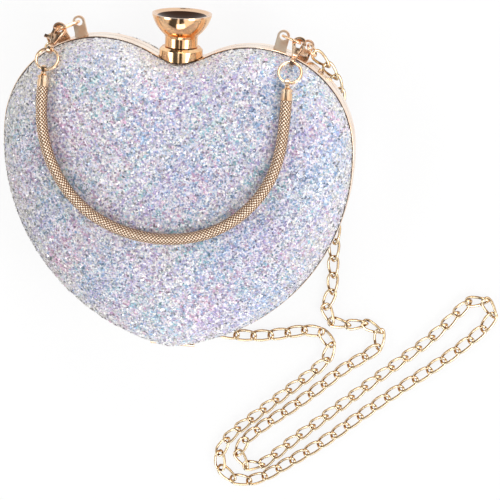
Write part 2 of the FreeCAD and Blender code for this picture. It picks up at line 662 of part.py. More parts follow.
# Handle ends: link, clasp with its trigger, ring and cap on each side.
def claw_shapes():
    """The clasp's body, trigger and pivot pin, with the swivel eye at the origin and the nose along X."""
    thick = num("claw_thickness")
    outer = num("claw_outer")
    inner = num("claw_inner")
    crown = num("claw_length") - outer
    low = -thick * HALF_SHARE
    start = num("claw_start")
    heel_end = num("claw_heel_end")
    neck_half = num("claw_neck_half")

    def disc(radius, along, aside, tall, bottom):
        return Part.makeCylinder(radius, tall, Vector(along, aside, bottom), Z_AXIS)

    def plate(first, last, right, left, tall, bottom):
        return Part.makeBox(last - first, left - right, tall, Vector(first, right, bottom))

    # The clip is a drop: an arc about the crown and two straight flanks that touch it and meet the neck.
    flank = math.hypot(crown - start, neck_half)
    lean_in = math.asin(outer / flank) - math.asin(neck_half / flank)
    touch_x = crown - outer * math.sin(lean_in)
    touch_y = outer * math.cos(lean_in)
    corners = [Vector(start, -neck_half, low), Vector(touch_x, -touch_y, low),
               Vector(touch_x, touch_y, low), Vector(start, neck_half, low)]
    nose = Vector(crown + outer, 0, low)
    rim = Part.Wire([Part.LineSegment(corners[0], corners[1]).toShape(),
                     Part.Arc(corners[1], nose, corners[2]).toShape(),
                     Part.LineSegment(corners[2], corners[3]).toShape(),
                     Part.LineSegment(corners[3], corners[0]).toShape()])
    drop = Part.Face(rim).extrude(Vector(0, 0, thick))
    level = [edge for edge in drop.Edges if edge.BoundBox.ZLength < thick * HALF_SHARE]
    body = drop.makeFillet(num("claw_round"), level)
    body = body.cut(disc(inner, crown, 0, thick, low))
    body = body.cut(plate(heel_end, crown, -neck_half, outer + inner, thick, low))
    swivel_plate = num("swivel_plate")
    swivel_outer = num("swivel_outer")
    swivel = Part.makeCylinder(swivel_outer, swivel_plate, Vector(0, -swivel_plate * HALF_SHARE, 0), Y_AXIS)
    neck = Part.makeBox(start, swivel_plate, thick * HALF_SHARE,
                        Vector(0, -swivel_plate * HALF_SHARE, low * HALF_SHARE))
    eye = Part.makeCylinder(num("swivel_inner"), swivel_plate,
                            Vector(0, -swivel_plate * HALF_SHARE, 0), Y_AXIS)
    body = body.fuse([swivel, neck]).cut(eye)
    lever_thick = num("trigger_thickness")
    gap = num("trigger_gap")
    slot_low = -lever_thick * HALF_SHARE - gap
    slot_tall = lever_thick + gap + gap
    pivot_along = num("pivot_along")
    pivot_aside = num("pivot_aside")
    lever_r = num("trigger_wide")
    body = body.cut(plate(pivot_along - lever_r - gap, heel_end, pivot_aside - lever_r - gap,
                          outer, slot_tall, slot_low))
    pin_length = thick
    body = body.cut(disc(num("pivot_radius"), pivot_along, pivot_aside, pin_length, low)).removeSplitter()
    lever_low = -lever_thick * HALF_SHARE
    boss = disc(lever_r, pivot_along, pivot_aside, lever_thick, lever_low)
    arm = plate(pivot_along, crown - num("trigger_tip_gap"), inner, outer - gap, lever_thick, lever_low)
    root = plate(pivot_along, pivot_along + lever_r, pivot_aside, outer - gap, lever_thick, lever_low)
    thumb = plate(pivot_along - lever_r * HALF_SHARE, pivot_along + lever_r * HALF_SHARE,
                  pivot_aside, outer + num("thumb_length"), lever_thick, lever_low)
    lever = boss.fuse([arm, root, thumb])
    pin_room = num("pivot_radius") + num("pivot_fit")
    lever = lever.cut(disc(pin_room, pivot_along, pivot_aside, lever_thick, lever_low)).removeSplitter()
    pin = disc(num("pivot_radius"), pivot_along, pivot_aside, pin_length, low)
    return body, lever, pin


def place_of(prefix, name):
    """A measured place or direction of the left or the right fittings."""
    return Vector(*[num("%s_%s_%s" % (prefix, name, axis)) for axis in "xyz"])


claw_body, claw_lever, claw_pin = claw_shapes()
wire_r = num("link_wire") * HALF_SHARE
hook_along = num("claw_length") - num("claw_outer") + num("claw_inner") - wire_r - num("link_play")
cap_ends = {}
for name, side in (("left", -1), ("right", 1)):
    eye = handle_eyes[name]
    hook = eye + place_of("hook", name)
    lean = place_of("lean", name).normalize()
    tail = hook + lean * hook_along
    nose_dir = lean * -1
    claw_place = set_along(tail, nose_dir, X_AXIS * side)
    face = claw_place.Rotation.multVec(Z_AXIS)
    keep("clasp_body_" + name, solid_piece("clasp_body_" + name, claw_body, claw_place))
    keep("clasp_trigger_" + name, solid_piece("clasp_trigger_" + name, claw_lever, claw_place))
    keep("trigger_pin_" + name, solid_piece("trigger_pin_" + name, claw_pin, claw_place))
    pivot = claw_place.multVec(Vector(num("pivot_along"), num("pivot_aside"), 0))
    print("trigger", name, "pivot", [round(c, 3) for c in pivot], "axis", [round(c, 5) for c in face])
    reach = (hook - eye).Length
    link_heading = (hook - eye).normalize()
    link_side = beside(link_heading, num("link_roll_%s_angle" % name))
    link_place = set_along((hook + eye) * HALF_SHARE, link_heading, link_side)
    link_shape = oblong_link(reach, num("link_width"), num("link_wire"))
    keep("lug_link_" + name, solid_piece("lug_link_" + name, link_shape, link_place))
    ring_lean = place_of("ring_lean", name).normalize()
    ring_r = num("ring_radius")
    ring = doc.addObject("Part::Torus", "split_ring_" + name)
    bind(ring, "Radius1", size("ring_radius"))
    bind(ring, "Radius2", size("ring_wire") * HALF_SHARE)
    ring.Placement = set_along(tail + ring_lean * ring_r, ring_lean, X_AXIS)
    keep("split_ring_" + name, ring)
    cap_ends[name] = tail + ring_lean * (ring_r + ring_r)
    print("cap eye", name, [round(c, 3) for c in cap_ends[name]], "link reach", round(reach, 2))

# Handle route: the middle of the mesh sleeve from the left cap over the front shell to the right cap. It is
# measured across and along from midway between the caps' eyes and upward from the crown of the front cover.
HANDLE_ROUTE = [
    (-57.1, -18, -2), (-56, -28.6, -0.5), (-53, -39.6, 0.7), (-47.4, -50.6, 1.6), (-39.4, -60.3, 2.5),
    (-29.4, -67.9, 3.3), (-14.4, -73.9, 4), (3.1, -75.9, 4.1), (20.6, -72.9, 4), (34.6, -65.5, 3.6),
    (45.1, -55.6, 2.8), (52.4, -44.1, 1.9), (56.4, -31.1, 0.8), (57.6, -15.3, -1.3)]


def smooth_edges(points, label):
    """Straight runs joined by the largest tangent arcs; prints the least radius and the length."""
    edges = []
    cursor = points[0]
    least = None
    for before, here, after in zip(points, points[1:], points[2:]):
        back = (before - here)
        ahead = (after - here)
        setback = ARC_SETBACK_SHARE * min(back.Length, ahead.Length)
        back.normalize()
        ahead.normalize()
        turn = math.pi - back.getAngle(ahead)
        radius = setback / math.tan(turn * HALF_SHARE)
        least = radius if least is None else min(least, radius)
        start = here + back * setback
        stop = here + ahead * setback
        inward = (back + ahead).normalize()
        middle = here + inward * (radius / math.cos(turn * HALF_SHARE) - radius)
        edges.append(Part.LineSegment(cursor, start).toShape())
        edges.append(Part.Arc(start, middle, stop).toShape())
        cursor = stop
    edges.append(Part.LineSegment(cursor, points[-1]).toShape())
    length = sum(edge.Length for edge in edges)
    print(label, "least radius", round(least, 2), "length", round(length, 1))
    return edges


def pipe(edges, radius, bore_radius=0):
    """A round tube or rod along a smooth path."""
    shape = wire_path(edges, radius)
    if bore_radius:
        shape = shape.cut(wire_path(edges, bore_radius))
    return shape


eyes_middle = (cap_ends["left"] + cap_ends["right"]) * HALF_SHARE
crown_level = seam + size("frame_depth") + size("dome_rise")
handle_origin = Vector(eyes_middle.x, eyes_middle.y, crown_level.number)
handle_points = [handle_origin + Vector(*spot) for spot in HANDLE_ROUTE]
cap_mouths = {}
for name, end in (("left", 0), ("right", -1)):
    # Each cap hangs from its ring's wire and points along the sleeve's first run.
    eye = cap_ends[name]
    drop = num("cap_start") + num("cap_length")
    heading = (handle_points[end] - eye).normalize()
    cap_mouths[name] = eye + heading * drop
    body = new_body("EndCap" + name)
    profile = new_sketch(body, "CapProfile" + name)
    neck = size("cap_neck")
    cap_r = size("cap_radius")
    shoulder = size("cap_start") + size("cap_round")
    groove_top = shoulder + size("groove_start")
    groove_low = groove_top + size("groove_width")
    low = size("cap_start") + size("cap_length")
    spigot = size("sleeve_bore") - size("core_gap")
    neck_top = -size("eye_outer") * size("eye_root_share")
    add_outline(profile, [
        (NONE, neck_top), (NONE, -low - size("spigot_length")), (spigot, -low - size("spigot_length")),
        (spigot, -low), (cap_r, -low), (cap_r, -groove_low), (cap_r - size("groove_depth"), -groove_low),
        (cap_r - size("groove_depth"), -groove_top), (cap_r, -groove_top), (cap_r, -shoulder),
        (neck, -size("cap_start")), (neck, neck_top)])
    revolve(body, profile)
    doc.recompute()
    eye_sketch = new_sketch(body, "CapEye" + name, role="YZ_Plane")
    add_circle(eye_sketch, NONE, NONE, size("eye_outer"))
    pad(body, eye_sketch, size("eye_plate"), both_ways=True)
    doc.recompute()
    hole_sketch = new_sketch(body, "CapHole" + name, role="YZ_Plane")
    add_circle(hole_sketch, NONE, NONE, size("ring_wire") * HALF_SHARE + size("eye_play"))
    pocket(body, hole_sketch, size("eye_plate") + size("eye_plate"))
    up = heading * -1
    x_dir = (X_AXIS - up * X_AXIS.dot(up)).normalize()
    body.Placement = FreeCAD.Placement(eye, FreeCAD.Rotation(x_dir, up, x_dir.cross(up), "XYZ"))
    keep("end_cap_" + name, body)
sleeve_points = [cap_mouths["left"]] + handle_points + [cap_mouths["right"]]
sleeve_edges = smooth_edges(sleeve_points, "handle sleeve")
sleeve_shape = pipe(sleeve_edges, num("sleeve_radius"), num("sleeve_bore"))
sleeve_length = sum(edge.Length for edge in sleeve_edges)
sleeve_area = math.pi * (num("sleeve_radius") ** 2 - num("sleeve_bore") ** 2)
print("sleeve volume share", round(sleeve_shape.Volume / (sleeve_area * sleeve_length), 4))
keep("handle_sleeve", solid_piece("handle_sleeve", sleeve_shape))
core_points = list(sleeve_points)
for end, inner_point in ((0, 1), (-1, -2)):
    inward = (sleeve_points[inner_point] - sleeve_points[end]).normalize()
    core_points[end] = sleeve_points[end] + inward * (num("spigot_length") + num("core_gap"))
core_edges = smooth_edges(core_points, "handle core")
keep("handle_core", solid_piece("handle_core", pipe(core_edges, num("sleeve_bore") - num("core_gap"))))

# Shoulder chain: the middle of the chain from the right lug, along the rim, down to the table, out in a long
# double loop, back under the tip and the left lobe, and up to the left lug. Heights are above the table.
CHAIN_ROUTE = [
    (64.2, 43.6, 22.6), (69, 38.4, 19), (72.8, 31, 13.4), (74.8, 21, 7.6), (75.4, 8, 3.7),
    (75.2, -8, 2.7), (75.4, -24, 2.6), (75.2, -39, 2.6), (75.6, -53, 2.6), (75.4, -65, 2.6), (76, -73, 2.6),
    (76.2, -80.5, 2.6), (72.6, -87, 2.6), (73.4, -94, 2.6), (79.4, -98.2, 2.6), (87.8, -96.4, 2.6),
    (97, -94.8, 2.6), (102.5, -99.8, 2.6), (102.2, -107.2, 2.6), (95, -113, 2.6), (84.4, -120.4, 2.6),
    (72, -133.2, 2.6), (59, -145, 2.6), (45, -156.4, 2.6), (36.6, -164, 2.6), (31.4, -170.6, 2.6),
    (31.5, -177.2, 2.6), (35.8, -181.8, 2.6), (42.4, -181.6, 2.6), (49.6, -174.8, 2.6), (60, -164, 2.6),
    (75, -150, 2.6), (92, -133.6, 2.6), (111, -115.4, 2.6), (127, -100.6, 2.6), (137.4, -87.6, 2.6),
    (144.9, -77.2, 2.6), (151.5, -76.5, 2.6), (156.6, -80.7, 2.6), (157.1, -87.3, 2.6),
    (150.6, -94.8, 2.6), (142.6, -103.4, 2.6), (132.2, -113.2, 2.6), (122.6, -121.4, 2.6),
    (107, -134.6, 2.6), (92, -148.2, 2.6), (77.4, -162, 2.6), (63.4, -173, 2.6), (52.4, -181.4, 2.6),
    (44, -187.8, 2.6), (35.4, -190.8, 2.6), (27, -189.2, 2.6), (21.2, -182.8, 2.6), (21.4, -174, 2.6),
    (27, -164, 2.6), (39, -153, 2.6), (53.8, -138.6, 2.6), (68.6, -124.6, 2.6), (75.6, -117, 2.6),
    (78, -109.8, 2.6), (75.2, -103.2, 2.6), (68, -100.8, 2.6), (59, -102.8, 2.6), (49, -106, 2.6),
    (34, -108.2, 2.6), (20, -108, 2.6), (6, -101.6, 2.6), (-10, -95.4, 2.6), (-27, -85.6, 2.6),
    (-43.6, -71, 2.6), (-57, -53, 2.6), (-66.8, -32.6, 2.6), (-71.4, -12.6, 2.6), (-72.2, 6, 2.7),
    (-70.8, 19.6, 4.2), (-68.8, 29.8, 8.6), (-66.8, 37.6, 14.4), (-64.6, 44.2, 21.6)]


def chain_links():
    """The chain's links as separate solids, rolled to either side in turn, with a jump ring at each end."""
    eyes = (chain_eyes["right"], chain_eyes["left"])
    middle = [Vector(spot[0], spot[1] + lobe_line.number, spot[2]) for spot in CHAIN_ROUTE]
    edges = smooth_edges([eyes[0]] + middle + [eyes[1]], "shoulder chain")
    path = Part.Wire(edges)
    total = path.Length
    reach = num("chain_length") - num("chain_wire")
    ring_reach = num("jump_radius") + num("jump_radius")
    overlap = (num("jump_wire") + num("chain_wire")) * HALF_SHARE + num("chain_slack")
    lead = ring_reach - overlap + reach * HALF_SHARE
    count = int((total - lead - lead) / num("chain_pitch")) + 2
    pitch = (total - lead - lead) / (count - 1)
    fine = path.discretize(Distance=num("chain_wire"))
    marks = [0]
    for here, after in zip(fine, fine[1:]):
        marks.append(marks[-1] + (after - here).Length)
    scale = total / marks[-1]

    def spot_at(distance):
        """The point of the chain's middle at a distance along it."""
        wanted = min(max(distance / scale, 0), marks[-1])
        low, high = 0, len(marks) - 1
        while high - low > 1:
            centre = (low + high) // 2
            low, high = (centre, high) if marks[centre] <= wanted else (low, centre)
        share = (wanted - marks[low]) / (marks[high] - marks[low])
        return fine[low] + (fine[high] - fine[low]) * share

    link = oblong_link(reach, num("chain_width"), num("chain_wire"))
    links = []
    for index in range(count):
        centre = lead + index * pitch
        start = spot_at(centre - pitch * HALF_SHARE)
        stop = spot_at(centre + pitch * HALF_SHARE)
        heading = (stop - start).normalize()
        roll = num("chain_roll_angle") if index % 2 == 0 else -num("chain_roll_angle")
        placed = link.copy()
        placed.Placement = set_along((start + stop) * HALF_SHARE, heading, beside(heading, roll))
        links.append(placed)
    print("chain links", count, "pitch", round(pitch, 3), "length", round(total, 1))
    rings = []
    # Each ring is rolled away from its neighbour link; the last ring looks back along the chain.
    last_roll = num("jump_roll_angle") if count % 2 == 1 else -num("jump_roll_angle")
    for eye, far, roll in ((eyes[0], spot_at(ring_reach), -num("jump_roll_angle")),
                           (eyes[1], spot_at(total - ring_reach), last_roll)):
        heading = (far - eye).normalize()
        rings.append((eye, heading, beside(heading, roll)))
    return links, rings


links, jump_rings = chain_links()
least_gap = min(one.distToShape(other)[0] for one, other in zip(links, links[1:]))
print("least gap between links", round(least_gap, 3))
keep("shoulder_chain", solid_piece("shoulder_chain", Part.makeCompound(links)))
for name, (eye, heading, sideways) in zip(("right", "left"), jump_rings):
    ring = doc.addObject("Part::Torus", "jump_ring_" + name)
    bind(ring, "Radius1", size("jump_radius"))
    bind(ring, "Radius2", size("jump_wire") * HALF_SHARE)
    ring.Placement = set_along(eye + heading * num("jump_radius"), heading, sideways)
    keep("jump_ring_" + name, ring)

# Checks before writing.
doc.recompute()
faults = [thing.Label for thing in doc.Objects if "Invalid" in thing.State or "Error" in thing.State]
for label, piece in pieces.items():
    shape = piece.Shape
    if shape.isNull() or not shape.isValid() or shape.Volume <= 0:
        faults.append(label + " shape")
if faults:
    raise RuntimeError("failed pieces: " + ", ".join(faults))
os.makedirs("parts", exist_ok=True)
for label, piece in pieces.items():
    piece.Shape.exportStep("parts/%s.step" % label)
    bounds = piece.Shape.BoundBox
    print("%-22s solids %d volume %9.1f  x %7.2f %7.2f  y %7.2f %7.2f  z %6.2f %6.2f" % (
        label, len(piece.Shape.Solids), piece.Shape.Volume, bounds.XMin, bounds.XMax,
        bounds.YMin, bounds.YMax, bounds.ZMin, bounds.ZMax))
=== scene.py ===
"""Looks of a heart shaped evening purse that lies on its back with its handle and chain laid out.

Metres. X runs across the purse, Y towards the clasp and Z up out of the front cover.
"""
from __future__ import annotations

import logging
import math
from dataclasses import dataclass
from enum import Enum

import bpy
import numpy as np
from mathutils import Matrix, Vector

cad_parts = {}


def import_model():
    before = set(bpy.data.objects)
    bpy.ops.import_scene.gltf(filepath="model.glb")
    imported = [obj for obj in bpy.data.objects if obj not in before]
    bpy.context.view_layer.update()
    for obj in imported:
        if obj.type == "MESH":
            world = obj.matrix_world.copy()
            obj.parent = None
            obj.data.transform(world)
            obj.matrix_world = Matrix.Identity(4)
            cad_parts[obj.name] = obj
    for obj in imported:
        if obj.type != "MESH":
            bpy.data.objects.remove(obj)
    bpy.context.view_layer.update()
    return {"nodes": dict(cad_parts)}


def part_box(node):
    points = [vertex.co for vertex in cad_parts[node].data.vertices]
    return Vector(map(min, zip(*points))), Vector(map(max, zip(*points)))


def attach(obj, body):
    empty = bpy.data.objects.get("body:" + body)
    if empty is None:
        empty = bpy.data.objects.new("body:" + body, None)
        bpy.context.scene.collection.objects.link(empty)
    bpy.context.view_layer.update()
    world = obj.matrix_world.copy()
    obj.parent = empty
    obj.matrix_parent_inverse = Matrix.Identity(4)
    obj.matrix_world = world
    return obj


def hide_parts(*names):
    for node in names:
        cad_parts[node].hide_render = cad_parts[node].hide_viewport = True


Array = np.ndarray
Material = bpy.types.Material
Piece = bpy.types.Object
Colour = tuple[float, float, float, float]
log = logging.getLogger("heart_purse")
MM = 0.001
TAU = 2.0 * math.pi
UP = np.array([0.0, 0.0, 1.0])
SEAM = 28.5 * MM  # the height at which the two halves meet
RIM_DEPTH = 5.5 * MM  # how deep each half's rim is
MEAN_REACH = 75.0 * MM  # the outline's mean distance from the puff's centre


class Half(Enum):
    """The two shells of the purse, with the way each one bulges."""

    FRONT = 1
    REAR = -1

    @property
    def body(self) -> str:
        """The moving body that this shell belongs to."""
        return "front_half" if self is Half.FRONT else "rear_half"

    @property
    def word(self) -> str:
        """The word that starts the names of this shell's pieces."""
        return self.name.lower()


class Side(Enum):
    """The two ends of the handle."""

    LEFT = "left"
    RIGHT = "right"


class Signal:
    """A node's output that takes part in Python sums, each of which adds a Math node."""

    def __init__(self, recipe: Recipe, socket: bpy.types.NodeSocket) -> None:
        """Keeps the recipe and the output socket that it owns."""
        self.recipe = recipe
        self.socket = socket

    def _sum(self, operation: str, first: Value, second: Value) -> Signal:
        """The result of one more Math node over two values."""
        return self.recipe.node("ShaderNodeMath", {"operation": operation}, {0: first, 1: second})

    def __add__(self, other: Value) -> Signal:
        """This plus another."""
        return self._sum("ADD", self, other)

    def __radd__(self, other: Value) -> Signal:
        """Another plus this."""
        return self._sum("ADD", other, self)

    def __sub__(self, other: Value) -> Signal:
        """This minus another."""
        return self._sum("SUBTRACT", self, other)

    def __rsub__(self, other: Value) -> Signal:
        """Another minus this."""
        return self._sum("SUBTRACT", other, self)

    def __mul__(self, other: Value) -> Signal:
        """This times another."""
        return self._sum("MULTIPLY", self, other)

    def __rmul__(self, other: Value) -> Signal:
        """Another times this."""
        return self._sum("MULTIPLY", other, self)

    def over(self, limit: Value) -> Signal:
        """One where this is greater than a limit, else nought."""
        return self._sum("GREATER_THAN", self, limit)

    def also(self, output: int | str) -> Signal:
        """Another output of the node that this one comes from."""
        return Signal(self.recipe, self.socket.node.outputs[output])


Value = Signal | float | tuple


class Recipe:
    """One material, or the surroundings of the table, and the nodes that make it."""

    def __init__(self, name: str, surroundings: bool = False) -> None:
        """Starts an empty material or empty surroundings.

        Args:
            name: The name of what is made.
            surroundings: Whether it is the light all round instead of a material.
        """
        self.made = bpy.data.worlds.new(name) if surroundings else bpy.data.materials.new(name)
        self.made.use_nodes = True
        self.tree = self.made.node_tree
        self.tree.nodes.clear()
        kind = "ShaderNodeOutputWorld" if surroundings else "ShaderNodeOutputMaterial"
        self.output = self.tree.nodes.new(kind)

    def node(self, kind: str, settings: dict | None = None, inputs: dict | None = None,
             output: int | str = 0) -> Signal:
        """Adds any node, sets it up and feeds its sockets.

        Args:
            kind: The node's type.
            settings: Properties set first; stops gives a ramp's places and colours.
            inputs: Values or signals by socket name or number.
            output: The name or number of the output that is returned.

        Returns:
            The chosen output.
        """
        made = self.tree.nodes.new(kind)
        for key, setting in (settings or {}).items():
            if key == "stops":
                ramp = made.color_ramp
                while len(ramp.elements) < len(setting):
                    ramp.elements.new(1.0)
                for element, (place, colour) in zip(ramp.elements, setting):
                    element.position = place
                    element.color = colour
            else:
                setattr(made, key, setting)
        for key, given in (inputs or {}).items():
            if isinstance(given, Signal):
                self.tree.links.new(given.socket, made.inputs[key])
            else:
                made.inputs[key].default_value = given
        return Signal(self, made.outputs[output])

    def place(self) -> Signal:
        """The surface point in the piece's own coordinates."""
        return self.node("ShaderNodeTexCoord", output="Object")

    def stored(self, name: str, output: str = "Color") -> Signal:
        """A value that the mesh carries by name."""
        return self.node("ShaderNodeAttribute", {"attribute_name": name}, output=output)

    def noise(self, scale: float, detail: float = 3.0) -> Signal:
        """Soft noise over the piece, with a scale in cells a metre."""
        inputs = {"Vector": self.place(), "Scale": scale, "Detail": detail}
        return self.node("ShaderNodeTexNoise", None, inputs, "Fac")

    def facing(self, source: Signal, direction: Array) -> Signal:
        """How far a vector points along a unit direction, from nought for the other way to one."""
        dot = self.node("ShaderNodeVectorMath", {"operation": "DOT_PRODUCT"},
                        {0: source, 1: tuple(direction)}, "Value")
        return dot * 0.5 + 0.5

    def ramp(self, source: Signal, stops: list) -> Signal:
        """A colour from a value through a ramp's stops."""
        return self.node("ShaderNodeValToRGB", {"stops": stops}, {"Fac": source})

    def mix(self, share: Value, first: Value, second: Value, blend: str = "MIX") -> Signal:
        """A colour between two, by the share of the second and the way it lies on the first."""
        return self.node("ShaderNodeMix", {"data_type": "RGBA", "blend_type": blend},
                         {0: share, 6: first, 7: second}, 2)

    def bump(self, height: Signal, distance: float, strength: float = 1.0) -> Signal:
        """A normal from a height, in metres for a height of one."""
        return self.node("ShaderNodeBump", None,
                         {"Height": height, "Distance": distance, "Strength": strength})

    def close(self, shader: Signal) -> Material | bpy.types.World:
        """Joins a shader to the recipe's end, and gives what is made."""
        self.tree.links.new(shader.socket, self.output.inputs["Surface"])
        return self.made

    def surface(self, inputs: dict) -> Material:
        """Closes the recipe with one principled surface that has the given inputs."""
        return self.close(self.node("ShaderNodeBsdfPrincipled", None, inputs))


def linear(red: float, green: float, blue: float) -> Colour:
    """A colour as seen, from nought to one, as the light it stands for with a full alpha."""
    seen = np.array([red, green, blue])
    return (*np.where(seen <= 0.04045, seen / 12.92, ((seen + 0.055) / 1.055) ** 2.4).tolist(), 1.0)


def grey(level: float) -> Colour:
    """A grey light of a level, with a full alpha."""
    return (level, level, level, 1.0)


@dataclass(frozen=True)
class GoldFinish:
    """Polished gold plate with faint clouding and hair scratches."""

    name: str = "fitting_gold"
    bright: tuple = (1.0, 0.90, 0.78)
    deep: tuple = (0.90, 0.71, 0.53)
    gloss: float = 0.07
    haze: float = 0.08
    grain: float = 150.0
    relief_grain: float = 2600.0
    relief: float = 0.0035 * MM

    def make(self) -> Material:
        """Noise clouds the colour and the gloss; another gives scratches or the swell of a cast piece.

        Returns:
            The material.
        """
        recipe = Recipe(self.name)
        cloud = recipe.noise(self.grain)
        colour = recipe.ramp(cloud, [(0.36, linear(*self.bright)), (0.66, linear(*self.deep))])
        normal = recipe.bump(recipe.noise(self.relief_grain, 1.0), self.relief)
        return recipe.surface({"Base Color": colour, "Metallic": 1.0,
                               "Roughness": self.gloss + cloud * self.haze, "Normal": normal})


@dataclass(frozen=True)
class ChainFinish:
    """Gold plated wire, glossier on top, with painted light: pale on top and brown shade down its flanks and
    under it.
    """

    grain: float = 140.0
    cloud: float = 0.2
    dull: float = 0.3
    gloss: float = 0.18

    def make(self) -> Material:
        """The stored polish, painted light, goes from the brown shade of the flanks to the pale highlight of
        the top.

        Returns:
            The material.
        """
        recipe = Recipe("chain_gold")
        polish = recipe.stored("polish", "Fac")
        cloud = recipe.noise(self.grain) * self.cloud
        # painted light: brown shade where the wire faces down or sideways, a pale highlight where it faces up
        plate = recipe.ramp(polish, [(0.45, linear(0.34, 0.19, 0.09)), (0.66, linear(0.68, 0.46, 0.25)),
                                     (0.82, linear(0.95, 0.79, 0.55)), (0.96, linear(1.0, 0.96, 0.85))])
        colour = recipe.mix(cloud, plate, linear(0.93, 0.75, 0.52))
        return recipe.surface({"Base Color": colour, "Metallic": 1.0,
                               "Roughness": self.dull - polish * self.gloss})


@dataclass(frozen=True)
class KnobFinish:
    """Polished gold whose dished top has a painted reflection, dark in the middle and pale round it."""

    cup_floor: float = 78.5 * MM
    cup_rise: float = 22.5
    painted_dark_radius: float = 11.6 * MM
    axis_height: float = SEAM
    grain: float = 120.0
    gloss: float = 0.07
    haze: float = 0.08

    def make(self) -> Material:
        """Paints a reflection over the gold above a bowl that rises with the square of the distance from the
        knob's axis: dark near the axis and pale round it.

        Returns:
            The material.
        """
        recipe = Recipe("knob_gold")
        across = recipe.node("ShaderNodeSeparateXYZ", None, {0: recipe.place()}, "X")
        along, height = across.also("Y"), across.also("Z") - self.axis_height
        out = across * across + height * height
        cup = (along - out * self.cup_rise).over(self.cup_floor)
        cloud = recipe.noise(self.grain)
        gold = recipe.mix(cloud, linear(1.0, 0.85, 0.67), linear(0.87, 0.64, 0.43))
        # painted reflection in the dish: dark within a radius of the axis, pale round it
        heart = 1.0 - out.over(self.painted_dark_radius ** 2)
        inside = recipe.mix(heart, linear(0.92, 0.78, 0.66), linear(0.24, 0.16, 0.12))
        colour = recipe.mix(cup, gold, inside)
        return recipe.surface({"Base Color": colour, "Metallic": 1.0,
                               "Roughness": self.gloss + cloud * self.haze})


@dataclass(frozen=True)
class FlakeFinish:
    """Iridescent flakes that carry their own tint and gloss."""

    metal: float = 0.32
    dull: float = 0.5
    polish: float = 0.36
    sheen: float = 0.6

    def make(self) -> Material:
        """The flake's stored tint colours it, and its stored gloss sets how sharp it shines.

        Returns:
            The material.
        """
        recipe = Recipe("glitter_flakes")
        gloss = recipe.stored("flake_gloss", "Fac")
        return recipe.surface({"Base Color": recipe.stored("flake_tint"), "Metallic": gloss * self.metal,
                               "Roughness": self.dull - gloss * self.polish,
                               "Specular IOR Level": self.sheen})


@dataclass(frozen=True)
class BedFinish:
    """The cloth under the flakes: pale grey with a grain of small crumbs."""

    crumbs: float = 1900.0
    crumb_height: float = 0.2 * MM
    crumb_strength: float = 0.6
    metal: float = 0.15
    dull: float = 0.5

    def make(self) -> Material:
        """Cells the size of crumbs give each a shade between grey and lilac white and a raised edge.

        Returns:
            The material.
        """
        recipe = Recipe("glitter_bed")
        cells = recipe.node("ShaderNodeTexVoronoi", None,
                            {"Vector": recipe.place(), "Scale": self.crumbs}, "Color")
        shade = recipe.node("ShaderNodeSeparateColor", None, {0: cells})
        colour = recipe.ramp(shade, [(0.0, linear(0.54, 0.53, 0.58)), (0.25, linear(0.80, 0.80, 0.90)),
                                     (0.45, linear(0.90, 0.89, 0.92)), (0.6, linear(0.80, 0.86, 0.95)),
                                     (0.75, linear(0.95, 0.86, 0.92)), (1.0, linear(0.97, 0.96, 0.97))])
        normal = recipe.bump(cells.also("Distance"), self.crumb_height, self.crumb_strength)
        return recipe.surface({"Base Color": colour, "Roughness": self.dull, "Metallic": self.metal,
                               "Normal": normal})


@dataclass(frozen=True)
class MeshSleeveFinish:
    """Gold wire mesh with painted shade down in its gaps and a painted highlight along its top."""

    metal: float = 0.95
    dull: float = 0.34
    gloss: float = 0.16

    def make(self) -> Material:
        """The stored value goes from the painted shade of the gaps to the bright of the wires and the painted
        highlight of the top.

        Returns:
            The material.
        """
        recipe = Recipe("mesh_gold")
        height = recipe.stored("weave_height", "Fac")
        # painted shade in the gaps of the weave and a painted highlight along the tube's top
        colour = recipe.ramp(height, [(0.0, linear(0.29, 0.20, 0.14)), (0.32, linear(0.67, 0.52, 0.40)),
                                      (0.62, linear(0.97, 0.87, 0.76)), (1.0, linear(1.0, 0.97, 0.93))])
        return recipe.surface({"Base Color": colour, "Metallic": self.metal,
                               "Roughness": self.dull - height * self.gloss})


@dataclass(frozen=True)
class SatinFinish:
    """Pale satin lining with a fine thread."""

    threads: float = 900.0
    thread_height: float = 0.06 * MM
    thread_strength: float = 0.5
    waver: float = 0.6
    sheen: float = 0.3
    grain: float = 60.0
    gloss: float = 0.45
    haze: float = 0.1

    def make(self) -> Material:
        """Two crossing waves make the thread; noise clouds the colour.

        Returns:
            The material.
        """
        recipe = Recipe("satin_lining")
        warp, weft = (recipe.node("ShaderNodeTexWave", {"bands_direction": way},
                                  {"Vector": recipe.place(), "Scale": self.threads,
                                   "Distortion": self.waver}, "Fac")
                      for way in ("X", "Y"))
        cloud = recipe.noise(self.grain)
        colour = recipe.mix(cloud, linear(0.92, 0.89, 0.86), linear(0.84, 0.80, 0.78))
        normal = recipe.bump(warp + weft, self.thread_height, self.thread_strength)
        return recipe.surface({"Base Color": colour, "Roughness": self.gloss + cloud * self.haze,
                               "Normal": normal, "Sheen Weight": self.sheen})


@dataclass(frozen=True)
class MottleFinish:
    """A plain surface with a soft mottle; as it stands, the moulded board of the shells."""

    name: str = "shell_board"
    first: tuple = (0.84, 0.81, 0.78)
    second: tuple = (0.74, 0.71, 0.69)
    grain: float = 300.0
    detail: float = 4.0
    metal: float = 0.0
    gloss: float = 0.6
    haze: float = 0.2

    def make(self) -> Material:
        """Noise goes from the first colour to the second and roughens the surface.

        Returns:
            The material.
        """
        recipe = Recipe(self.name)
        mottle = recipe.noise(self.grain, self.detail)
        colour = recipe.mix(mottle, linear(*self.first), linear(*self.second))
        return recipe.surface({"Base Color": colour, "Metallic": self.metal,
                               "Roughness": self.gloss + mottle * self.haze})


